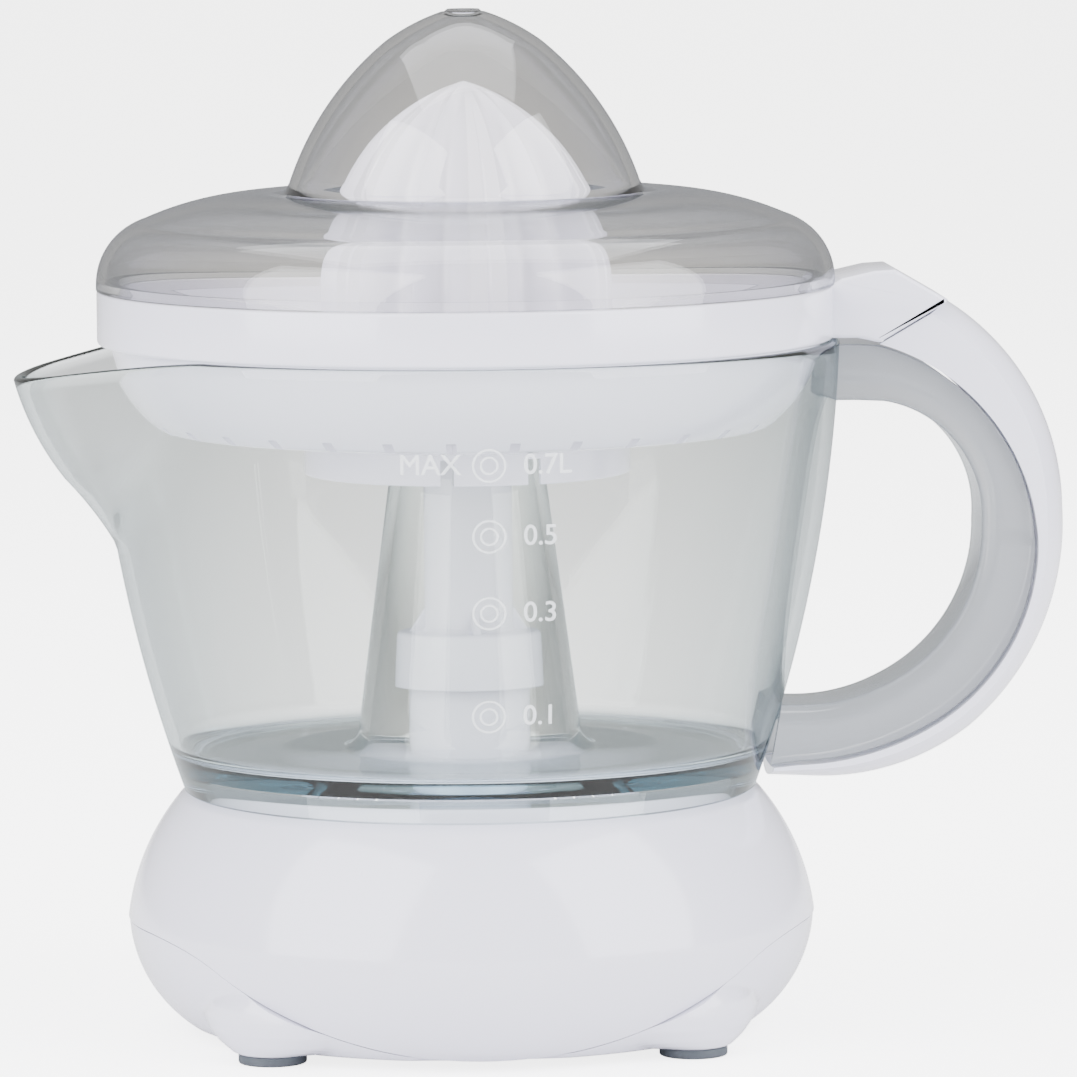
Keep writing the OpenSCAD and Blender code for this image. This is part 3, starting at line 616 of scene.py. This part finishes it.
def pod_radius(turn, z):
    """How far a leg's bulge stands out from the axis, or 0 away from it."""
    nearest = (turn % (math.pi / 2)) - math.pi / 4
    if z > POD_REACH[-1][1]:
        return 0.0
    a = at_height(POD_WIDTH, z)
    c = at_height(POD_REACH, z) - a
    side = c * math.sin(nearest)
    if abs(side) >= a:
        return 0.0
    return c * math.cos(nearest) + math.sqrt(a * a - side * side)


def tray_radius(turn, z):
    """Side of the tray: the base's curve with the four legs blended in."""
    side = at_height(BASE_SIDE, z) - 0.2
    pod = pod_radius(turn, z)
    blend = 0.5
    near = max(blend - abs(side - pod), 0) / blend
    return max(side, pod) + near * near * blend / 4


def polar(turn, r, z):
    """A point from its direction, radius and height."""
    return (r * math.cos(turn), r * math.sin(turn), z)


def make_housing():
    """The white body: tube, plateau, ledge, the side down to the seam, and the inside."""
    seams = [seam_at(t) + SEAM_GAP for t in turns()]
    rows = []
    top = rounded([
        (BORE_R, 62, 0), (BORE_R, BOSS_TOP_Z, 0.5), (BOSS_R, BOSS_TOP_Z, 0.8),
        (BOSS_R, PLATEAU_Z, 1.2), (53.6, PLATEAU_Z, 1.2), (53.9, LEDGE_Z, 0.8),
        (LEDGE_R - 0.2, LEDGE_Z, 0.9),
    ])
    for r, z in top:
        rows.append(circle_row(r, z))
    side_top = LEDGE_Z - 0.6
    count = 40
    for k in range(count + 1):
        t = k / count
        row = []
        for turn, seam in zip(turns(), seams):
            z = side_top + (seam - side_top) * t
            row.append(polar(turn, at_height(BASE_SIDE, z), z))
        rows.append(row)
    for depth in (0.5, 2.2):
        rows.append([polar(turn, at_height(BASE_SIDE, seam) - depth, seam)
                     for turn, seam in zip(turns(), seams)])
    inside_top = 45.5
    for k in range(1, 13):
        t = k / 12
        row = []
        for turn, seam in zip(turns(), seams):
            z = seam + (inside_top - seam) * t
            row.append(polar(turn, at_height(BASE_SIDE, z) - HOUSING_WALL, z))
        rows.append(row)
    for r, z in [(51.2, 50.0), (9.8, 50.0), (9.8, 61.0), (BORE_R, 61.4)]:
        rows.append(circle_row(r, z))
    return rings("housing_shell", rows, close=True)


def make_tray():
    """The lower body with its four leg bulges and the holes of its screws."""
    seams = [max(seam_at(t) - SEAM_GAP, UNDERSIDE_Z + 0.02) for t in turns()]
    plate = [smooth((s - 2.1) / 1.2) for s in seams]  # 0 where the tray narrows to its plate
    rows = [[(0, 0, UNDERSIDE_Z)], circle_row(30, UNDERSIDE_Z), circle_row(50, UNDERSIDE_Z)]

    def edge(turn, share, z, inward=0.0):
        wide = tray_radius(turn, z) - inward
        return polar(turn, PLATE_R + (wide - PLATE_R) * share, z)

    rows.append([edge(t, s, UNDERSIDE_Z, 0.9) for t, s in zip(turns(), plate)])
    rows.append([edge(t, s, UNDERSIDE_Z + 0.1, 0.35) for t, s in zip(turns(), plate)])
    count = 44
    for k in range(count + 1):
        f = (k / count) ** 1.25
        row = []
        for turn, seam, share in zip(turns(), seams, plate):
            low = min(UNDERSIDE_Z + 0.4, seam)
            z = low + (seam - low) * f
            row.append(edge(turn, share, z))
        rows.append(row)
    for k in range(13):
        t = k / 12
        row = []
        for turn, seam in zip(turns(), seams):
            if seam > TRAY_INSIDE_Z:
                z = seam + (TRAY_INSIDE_Z - seam) * t
                row.append(polar(turn, at_height(BASE_SIDE, z) - 2.6, z))
            else:
                row.append(polar(turn, 53.0, TRAY_INSIDE_Z))
        rows.append(row)
    rows.append([(0, 0, TRAY_INSIDE_Z)])
    tray = rings("tray_shell", rows, close=False)
    holes = []
    for angle in (-20, 60, 165):
        t = math.radians(angle)
        outline = [(0, -1), (TRAY_HOLE_R, -1), (TRAY_HOLE_R, 3.6), (0, 3.6)]
        hole = lathe("hole", outline, 32, close=False)
        hole.location = Vector(polar(t, TRAY_HOLE_CIRCLE_R, 0)) * MM
        bpy.context.view_layer.update()
        holes.append(hole)
    return carve(tray, combine("holes", holes))


def make_feet():
    """Four round rubber feet."""
    feet = []
    profile = rounded([(0, 0, 0), (FOOT_R, 0, 0.5), (FOOT_R, FOOT_H, 0.3), (0, FOOT_H, 0)])
    for k in range(4):
        t = math.pi / 4 + k * math.pi / 2
        foot = lathe("foot", profile, 48)
        foot.location = Vector(polar(t, FOOT_CIRCLE_R, 0)) * MM
        bpy.context.view_layer.update()
        feet.append(foot)
    return combine("rubber_foot_set", feet)


# ------------------------------------------------------------------ jug

JUG_SIDE = arc((57.7, JUG_FOOT_Z), (68.9, 88), (RIM_R, RIM_Z), 60)
SPOUT_TIP = joined(
    arc((71.0, 99.0), (76.9, 107.7), (81.2, 112.6), 6),
    arc((81.2, 112.6), (87.4, 122.5), (91.36, 133.2), 10),
    [(91.9, 139.5)],
)


def jug_radius(turn, z, wall=0.0):
    """Jug wall with its spout: the outline round the body's circle and the spout's nose."""
    body = at_height(JUG_SIDE, z) - wall
    nose = SPOUT_NOSE_R - wall
    if z < SPOUT_TIP[0][1]:
        return body
    c = at_height(SPOUT_TIP, z) - SPOUT_NOSE_R
    if c + nose <= body + 0.02:
        return body
    lean = abs(math.pi - (turn % (2 * math.pi)))
    touch = math.acos(min(max((body - nose) / c, -1), 1))
    if lean >= touch:
        return body
    nose_turn = math.atan2(nose * math.sin(touch), c + nose * math.cos(touch))
    if lean > nose_turn:
        return body / math.cos(lean - touch)
    return c * math.cos(lean) + math.sqrt(max(nose**2 - (c * math.sin(lean)) ** 2, 0))


def rim_height(turn):
    """Rim of the jug, which falls towards the spout's lip."""
    fall_start, fall_length = 54.7, 37.2
    z = RIM_Z
    for _ in range(6):  # the radius depends on the height, so it settles in a few rounds
        x = jug_radius(turn, z) * math.cos(turn)
        z = RIM_Z - SPOUT_FALL * max((-x - fall_start) / fall_length, 0) ** 1.25
    return z


def make_jug():
    """The jug's wall, rim, floor and tall centre column, as one closed surface."""
    all_turns = turns()
    rims = [rim_height(t) for t in all_turns]
    outside_foot, inside_foot = JUG_FOOT_Z + 0.6, JUG_FLOOR_Z + 3
    count = 46
    rows = []

    def wall_rows(foot, wall, shares):
        for share in shares:
            row = []
            for turn, rim in zip(all_turns, rims):
                z = foot + (rim - RIM_EDGE_R - foot) * share
                row.append(polar(turn, jug_radius(turn, z, wall), z))
            rows.append(row)

    for r, z in [(55.2, 49.2), (55.6, JUG_FOOT_Z + 0.1), (57.2, JUG_FOOT_Z + 0.1)]:
        rows.append(circle_row(r, z))
    wall_rows(outside_foot, 0.0, [k / count for k in range(count + 1)])
    for k in range(1, 8):  # the rim's rounded edge
        a = math.pi * k / 8
        row = []
        for turn, rim in zip(all_turns, rims):
            z = rim - RIM_EDGE_R
            outer, inner = jug_radius(turn, z), jug_radius(turn, z, JUG_WALL)
            mid, half = (outer + inner) / 2, (outer - inner) / 2
            row.append(polar(turn, mid + half * math.cos(a), z + RIM_EDGE_R * math.sin(a)))
        rows.append(row)
    wall_rows(inside_foot, JUG_WALL, [1 - k / count for k in range(count + 1)])
    floor_r = at_height(JUG_SIDE, inside_foot) - JUG_WALL
    for k in range(1, 7):  # inside corner between wall and floor
        a = math.pi / 2 * k / 6
        r = floor_r - 3 * (1 - math.cos(a)) - 0.3 * math.sin(a)
        rows.append(circle_row(r, inside_foot - 3 * math.sin(a)))
    column_foot = arc((26.8, JUG_FLOOR_Z), (23.6, 58.6), (22.3, COLUMN_FOOT_Z), 8)
    column = rounded([
        (22.3, COLUMN_FOOT_Z, 0), (14.2, 124, 0.8), (12.0, 124, 0.8), (20.1, COLUMN_FOOT_Z, 0),
    ])
    under = [
        (21.4, JUG_FLOOR_Z), (23.2, JUG_UNDER_Z + 0.7), (24.6, JUG_UNDER_Z), (40, JUG_UNDER_Z),
        (54.3, JUG_UNDER_Z), (54.8, JUG_UNDER_Z - 0.4),
    ]
    for r, z in joined([(45, JUG_FLOOR_Z), (35, JUG_FLOOR_Z), (26.8, JUG_FLOOR_Z)], column_foot):
        rows.append(circle_row(r, z))
    for r, z in column + under:
        rows.append(circle_row(r, z))
    return rings("jug_body", rows, close=True)


def channel_paths():
    """The handle's inner edge, beside the fingers, and its outer edge, under the cover."""
    count = 72
    grip = joined(
        [(73.2, 126.9), (78, 126.9)],
        arc((84, 126.6), (97.9, 118.4), (103.3, 101.2), 20),
        arc((103.3, 101.2), (97.8, 81.6), (84, 69.4), 20),
        arc((84, 69.4), (76, 66.4), (65.5, 65.4), 10),
        [(62.6, 65.4)],
    )
    edge = joined(
        [(74.6, 138.2), (78.5, 138.2)],
        arc((82.8, 137.9), (104, 124.1), (114.2, 97), 24),
        arc((114.2, 97), (109.3, 78.2), (94, 61.9), 20),
        arc((94, 61.9), (83.8, 57.1), (66, 53.9), 12),
        [(60.4, 53.2)],
    )
    return resample(grip, count), resample(edge, count)


def sweep(name, starts, ends, section, sharp=SHARP):
    """Lofts a cross-section along pairs of points in X and Z.

    section(reach) gives closed (offset, y) pairs for a pair of points that lie reach apart: offset
    runs from the first point towards the second.
    """
    rows = []
    for a, b in zip(starts, ends):
        a, b = Vector(a), Vector(b)
        reach = (b - a).length
        way = (b - a) / max(reach, 1e-6)
        row = []
        for offset, y in section(reach):
            p = a + way * offset
            row.append((p.x, y, p.y))
        rows.append(row)
    bm = bmesh.new()
    made = [[bm.verts.new(Vector(p) * MM) for p in row] for row in rows]
    n = len(made[0])
    for low, high in zip(made, made[1:]):
        for i in range(n):
            j = (i + 1) % n
            bm.faces.new((low[i], low[j], high[j], high[i]))
    bm.faces.new(list(reversed(made[0])))
    bm.faces.new(made[-1])
    return finish_mesh(name, bm, sharp)


def make_channel():
    """The clear handle: a channel, open outwards, with a rib across it."""
    grip, edge = channel_paths()
    half, wall, web = 10.2, 2.1, 3.4

    def section(reach):
        corners = [
            (0, -half, 1.3), (0, half, 1.3), (reach, half, 0.4), (reach, half - wall, 0.4),
            (web, half - wall, 1.2), (web, -half + wall, 1.2), (reach, -half + wall, 0.4),
            (reach, -half, 0.4),
        ]
        return rounded(corners, 4)

    channel = sweep("channel", grip, edge, section)
    rib = slab("rib", [(106.6, 97), (113.6, 97), (113.6, 98.3), (106.6, 98.3)], -8.2, 8.2)
    return combine("jug_handle", [channel, rib])


def cover_paths():
    """The cover's edge on the channel, and its crown."""
    count = 80
    inner = joined(
        arc((82.6, 138.4), (104.2, 124.3), (114.6, 97), 24),
        arc((114.6, 97), (109.7, 78), (94.3, 61.5), 20),
        arc((94.3, 61.5), (84, 56.6), (66, 53.4), 12),
        [(60.8, 52.9)],
    )
    outer = joined(
        arc((96.8, 146.6), (113.1, 130.5), (120.76, 104), 30),
        arc((120.76, 104), (116.2, 78.9), (101.4, 59.4), 30),
        arc((101.4, 59.4), (88, 52.3), (70, 49.8), 16),
        [(60.2, 50.4)],
    )
    return resample(inner, count), resample(outer, count)


def make_handle_cover():
    """The white strip snapped over the channel, hollow underneath and domed across."""
    inner, outer = cover_paths()
    half, shell = 12.0, 2.0

    def section(reach):
        shoulder = reach - min(4.6, reach * 0.72)
        inside = max(shoulder - 0.6, 0.05)
        crown = arc((shoulder, -half), (reach, 0), (shoulder, half), 22)
        under = arc((inside, half - shell), (reach - shell, 0), (inside, -half + shell), 16)
        return joined([(0, -half)], crown, [(0, half), (0, half - shell)], under,
                      [(0, -half + shell)])

    return sweep("handle_cover_strip", inner, outer, section, 50)


def mark_on_wall(obj, x, z):
    """Wraps flat lettering, drawn in X and Y, onto the jug's front at a place and height."""
    for v in obj.data.vertices:
        height = z + v.co.y / MM
        r = at_height(JUG_SIDE, height)
        turn = -math.pi / 2 + (x + v.co.x / MM) / r
        lift = r + 0.02 + max(v.co.z / MM, 0)
        v.co = Vector(polar(turn, lift, height)) * MM
    return obj


def lettering(words, size):
    """Raised letters, drawn flat in X and Y."""
    curve = bpy.data.curves.new("letters", "FONT")
    curve.body = words
    curve.size = size * MM
    curve.extrude = 0.12 * MM
    curve.bevel_depth = 0.05 * MM
    curve.align_x = "LEFT"
    curve.align_y = "CENTER"
    text = bpy.data.objects.new("letters", curve)
    bpy.context.scene.collection.objects.link(text)
    bpy.context.view_layer.update()
    mesh = bpy.data.meshes.new_from_object(
        text.evaluated_get(bpy.context.evaluated_depsgraph_get())
    )
    bpy.data.objects.remove(text)
    obj = bpy.data.objects.new("letters", mesh)
    bpy.context.scene.collection.objects.link(obj)
    return obj


def flat_ring(r, width):
    """A thin raised ring, drawn flat in X and Y like the lettering."""
    inner, outer, lift = r - width / 2, r + width / 2, 0.18
    return lathe("ring", [(inner, 0), (inner, lift), (outer, lift), (outer, 0)], 48)


def make_scale():
    """Raised volume scale on the jug's front."""
    middle, size, line = 0.5, 5.6, 0.42
    top_z = 120.9
    parts = []
    for words, z in (("0.7L", top_z), ("0.5", 107.0), ("0.3", 91.8), ("0.1", 71.05)):
        parts.append(mark_on_wall(lettering(words, size), middle + 6.6, z))
        parts.append(mark_on_wall(flat_ring(3.1, line), middle, z))
        parts.append(mark_on_wall(flat_ring(1.6, line), middle, z))
    parts.append(mark_on_wall(lettering("MAX", size), middle - 17.5, top_z))
    return combine("volume_scale", parts)


# ------------------------------------------------------------------ strainer


def make_strainer():
    """The slotted bowl with its ring, hub and skirt, and the tab over the handle."""
    outer = arc((71.6, 139.9), (68.2, 130), (61.8, 122.9), 14)
    inner = [(r - 2.0, z + 1.0) for r, z in reversed(outer)]
    profile = (
        rounded_open([(72.1, 141.2, 0), (72.1, RING_TOP_Z, 0.5), (RING_R, RING_TOP_Z, 0.7),
                      (RING_R, 139.6, 0.9), (71.6, 139.6, 0.4)])
        + outer
        + [(61.0, 122.4), (59.5, 122.1), (33.2, 119.2)]
        + rounded_open([(33.0, 119.1, 0), (33.0, 113.0, 0.5), (31.0, 113.0, 0.5), (31.0, 118.9, 0)])
        + rounded_open([(15.4, 118.6, 0.3), (15.4, 127.0, 0), (10.6, 127.0, 0.2),
                        (10.6, 129.0, 0.4), (17.4, 129.0, 0.9), (17.4, 121.0, 1.0),
                        (33.0, 121.2, 0)])
        + [(59.0, 124.0), (60.3, 124.3)]
        + inner
    )
    body = lathe("strainer_body", profile, close=True)
    cutters = []
    for k in range(32):
        slot = box_piece("slot", (38, -1.0, 117), (63.4, 1.0, 126))
        slot.rotation_euler.z = math.radians((k + 0.5) * 360 / 32)
        bpy.context.view_layer.update()
        cutters.append(slot)
    for side in (-1, 1):
        gap = box_piece("gap", (28, side * 8.7 - 1.3, 110), (38, side * 8.7 + 1.3, 118.2))
        gap.rotation_euler.z = math.radians(-90 + KEY_TURN)
        bpy.context.view_layer.update()
        cutters.append(gap)
    body = carve(body, combine("cutters", cutters))
    tab = slab(
        "tab",
        rounded([(72.4, 139.7, 0), (72.4, 150.2, 0), (74.9, 151.7, 0.8), (81.4, 153.15, 3.0),
                 (85.8, 153.4, 1.2), (96.7, 147.0, 0.5), (82.5, 138.7, 0.6), (78.0, 139.7, 1.0)]),
        -13.0, 13.0, bevel=1.0, segments=4,
    )
    return combine("strainer_piece", [body, tab])


# ------------------------------------------------------------------ reamer

REAMER_SIDE = joined(
    arc((0, REAMER_TOP_Z), (10.5, 186.8), (19.7, 179.2), 16),
    arc((19.7, 179.2), (26.4, 168.5), (30.2, 148), 26),
    [(31, 136), (31.6, 130)],
)


def flute(turn):
    """Share of the full radius at a direction: broad ribs, a fine ridge between, hollows."""
    rib = 7.5  # half a broad rib, in degrees; the ribs stand 60 degrees apart
    off = math.degrees(turn + math.pi / 2) - RIB_TURN
    off = abs((off + 30) % 60 - 30)
    if off <= rib:
        return 1.0 - 0.012 * (off < 0.7)
    share = (off - rib) / (30 - rib)
    return 1 - 0.2 * math.sin(math.pi * share) ** 0.75 - 0.04 * share


def make_reamer():
    """The fluted cone, smooth at its tip and foot, hollow underneath."""
    all_turns = turns(360)
    rows = [[(0, 0, REAMER_TOP_Z)]]
    for r, z in REAMER_SIDE[1:]:
        strength = smooth(r / 14) * (1 - 0.75 * smooth((140 - z) / 10))
        rows.append([polar(t, r * (1 - (1 - flute(t)) * strength), z) for t in all_turns])
    for r, z in rounded_open([(31.6, 129.6, 0), (33, 128.2, 0.6), (33, REAMER_FOOT_Z, 0.5),
                              (24, REAMER_FOOT_Z, 0.5), (23.6, 128, 0)]):
        rows.append(circle_row(r, z, 360))
    for r, z in ((23.0, 150), (20, 165), (12, 178)):
        rows.append(circle_row(r, z, 360))
    rows.append([(0, 0, 183)])
    return rings("reamer_cone", rows, close=False, sharp=14)


# ------------------------------------------------------------------ dust cover


def make_dust_cover():
    """The clear dome with its shoulder, brim and the ring that sits in the strainer."""
    dome = joined(
        [(0, DOME_TOP_Z - 0.2), (3.2, DOME_TOP_Z - 0.2), (3.8, DOME_TOP_Z - 0.7)],
        arc((4.4, DOME_TOP_Z - 0.75), (9.6, 203.4), (15.7, 199.7), 10),
        arc((15.7, 199.7), (27.1, 187.5), (35.3, 171.4), 26),
    )
    shoulder = joined(
        [(36.4, 169.5)],
        arc((37, 169.35), (54.2, 167.9), (65, 164.3), 16),
        arc((65, 164.3), (71.8, 159.4), (BRIM_R, 151.5), 18),
    )
    outer = joined(dome, shoulder)
    inner = [(max(r, 0), z) for r, z in inset_down(outer, 1.8)]
    inner = [p for p in inner if p[1] > 152.2]
    foot = [(BRIM_R, 150.5), (71.6, 150.5), (71.6, 147.6), (70.0, 147.6), (70.0, 152.2)]
    profile = joined(outer, foot, list(reversed(inner)))
    return lathe("dust_cover_dome", profile, close=False, sharp=40)


# ------------------------------------------------------------------ spindle


def make_spindle():
    """The drive tube with its skirt and four small gussets."""
    profile = rounded([
        (4.05, 78.6, 0), (13.0, 78.6, 0.8), (13.3, SPINDLE_FOOT_Z, 0.3),
        (15.0, SPINDLE_FOOT_Z, 0.4), (14.5, 81.3, 1.2), (9.6, 81.3, 0.5), (8.95, 82.2, 0.3),
        (8.95, 132, 0.5), (7.4, 132, 0.3), (7.4, SPINDLE_TOP_Z, 1.0), (0.01, SPINDLE_TOP_Z, 0),
        (0.01, 100.4, 0), (4.05, 100.4, 0),
    ])
    body = lathe("spindle_body", profile, 128)
    gussets = []
    for k in range(4):
        gusset = slab("gusset", [(8, 85.6), (8, 81), (12.2, 81), (9.2, 85.6)], -0.8, 0.8, 0.25)
        gusset.rotation_euler.z = math.radians(-90 + KEY_TURN + 90 * k)
        bpy.context.view_layer.update()
        gussets.append(gusset)
    return combine("spindle_piece", [body] + gussets)


# ------------------------------------------------------------------ return spring


def make_spring():
    """Round wire wound on the shaft, between the gear's hub and the shaft's collar."""
    coils, sides = 4, 12
    count = coils * 40
    rows = [[(SPRING_R, 0, SPRING_LOW_Z)]]
    for i in range(count + 1):
        turn = 2 * math.pi * coils * i / count
        z = SPRING_LOW_Z + (SPRING_HIGH_Z - SPRING_LOW_Z) * i / count
        row = []
        for k in range(sides):
            q = 2 * math.pi * k / sides
            row.append(polar(turn, SPRING_R + SPRING_WIRE_R * math.cos(q),
                             z + SPRING_WIRE_R * math.sin(q)))
        rows.append(row)
    rows.append([(SPRING_R, 0, SPRING_HIGH_Z)])
    return rings("return_spring_wire", rows, close=False)


# ------------------------------------------------------------------ build


def build():
    """The detailed pieces in place of CAD nodes, and materials for the nodes that stay."""
    stand_for(make_housing(), "base", "white_plastic", WHITE, "upper_housing")
    stand_for(make_tray(), "base", "white_plastic", WHITE, "bottom_tray")
    stand_for(make_feet(), "base", "rubber", RUBBER, "rubber_feet")
    stand_for(make_jug(), "jug", "clear_plastic", CLEAR, "jug")
    stand_for(make_channel(), "jug", "clear_plastic", CHANNEL_CLEAR)
    stand_for(make_scale(), "jug", "clear_plastic", MARKING)
    stand_for(make_handle_cover(), "jug", "white_plastic", WHITE, "handle_cover")
    stand_for(make_strainer(), "strainer", "white_plastic", WHITE, "strainer")
    stand_for(make_reamer(), "reamer", "white_plastic", SATIN_WHITE, "reamer")
    stand_for(make_dust_cover(), "lid", "clear_plastic", COVER_CLEAR, "dust_cover")
    stand_for(make_spindle(), "spindle", "white_plastic", SATIN_WHITE, "drive_spindle")
    spring = stand_for(make_spring(), "output", "steel", STEEL, "return_spring")
    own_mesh(spring)
    carried = {
        "drive_shaft": STEEL, "shaft_circlip": STEEL,
        "output_gear": GEAR, "intermediate_gear": GEAR, "intermediate_axle": STEEL,
        "motor_pinion": BRONZE, "motor_shaft": STEEL, "rotor_magnet": MAGNET,
        "stator_core": LAMINATION, "bobbin_inner": SATIN_WHITE, "bobbin_outer": SATIN_WHITE,
        "winding_inner": COPPER, "winding_outer": COPPER, "motor_bracket_upper": ZINC,
        "motor_bracket_lower": ZINC, "motor_bushes": BRONZE, "motor_screws": ZINC,
        "gear_plate": ZINC, "plate_screws": ZINC, "lower_bush": BRONZE, "upper_bush": BRONZE,
        "microswitch": BLACK, "switch_plunger": RED, "tray_screws": ZINC, "cord_gland": BLACK,
    }
    for node, material in carried.items():
        dress(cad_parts[node], material)


# ------------------------------------------------------------------ stage, light, camera


def make_stage():
    """A wide pale floor that glows for the camera only."""
    bm = bmesh.new()
    bmesh.ops.create_grid(bm, x_segments=1, y_segments=1, size=30)
    floor = finish_mesh("floor", bm)
    mat, nodes, links = new_material("pale_floor")
    out = nodes.new("ShaderNodeOutputMaterial")
    body = nodes.new("ShaderNodeBsdfPrincipled")
    body.inputs["Base Color"].default_value = (0.92, 0.92, 0.92, 1)
    body.inputs["Roughness"].default_value = 0.75
    glow = nodes.new("ShaderNodeEmission")
    rays = nodes.new("ShaderNodeLightPath")
    power = nodes.new("ShaderNodeMath")
    power.operation = "MULTIPLY"
    power.inputs[1].default_value = FLOOR_GLOW
    both = nodes.new("ShaderNodeAddShader")
    links.new(rays.outputs["Is Camera Ray"], power.inputs[0])
    links.new(power.outputs["Value"], glow.inputs["Strength"])
    links.new(body.outputs["BSDF"], both.inputs[0])
    links.new(glow.outputs["Emission"], both.inputs[1])
    links.new(both.outputs["Shader"], out.inputs["Surface"])
    dress(floor, mat)


def soft_light(name, place, target, size, power):
    """A cool soft box that faces the target."""
    data = bpy.data.lights.new(name, "AREA")
    data.shape = "RECTANGLE"
    data.size, data.size_y = size
    data.energy = power
    data.color = (0.965, 0.97, 1)
    light = bpy.data.objects.new(name, data)
    light.location = place
    light.rotation_euler = (Vector(target) - Vector(place)).to_track_quat("-Z", "Y").to_euler()
    bpy.context.scene.collection.objects.link(light)


def make_light(centre):
    """A warm white room and three soft boxes."""
    world = bpy.data.worlds.new("studio")
    world.use_nodes = True
    sky = world.node_tree.nodes["Background"]
    sky.inputs["Color"].default_value = (1, 0.99, 0.965, 1)
    sky.inputs["Strength"].default_value = 0.82
    bpy.context.scene.world = world
    soft_light("left_box", (-1.3, -1.05, 0.85), centre, (1.6, 2.2), 84)
    soft_light("right_box", (1.35, -0.95, 0.85), centre, (1.4, 2.1), 72)
    soft_light("top_box", (0.0, 0.2, 1.25), centre, (1.2, 1.0), 16)


def make_camera(centre):
    """A long lens in front of the press, a little above it."""
    azimuth = math.radians(-3.4)
    elevation = math.radians(6)
    distance = 1.527
    roll = math.radians(0.5)
    back = Vector((
        math.sin(azimuth) * math.cos(elevation),
        -math.cos(azimuth) * math.cos(elevation),
        math.sin(elevation),
    ))
    aim = Vector((centre.x - 0.0006, -0.0008, 0.099))
    data = bpy.data.cameras.new("camera")
    data.sensor_width = 36
    data.lens = 252.4
    data.clip_start, data.clip_end = 0.1, 50
    camera = bpy.data.objects.new("camera", data)
    camera.location = aim + back * distance
    turn = (-back).to_track_quat("-Z", "Y").to_matrix().to_4x4()
    camera.rotation_euler = turn.to_euler()
    camera.rotation_euler.rotate_axis("Z", -roll)
    bpy.context.scene.collection.objects.link(camera)
    bpy.context.scene.camera = camera


build()
middle = (cad_low + cad_high) / 2
make_stage()
make_light(middle)
make_camera(middle)
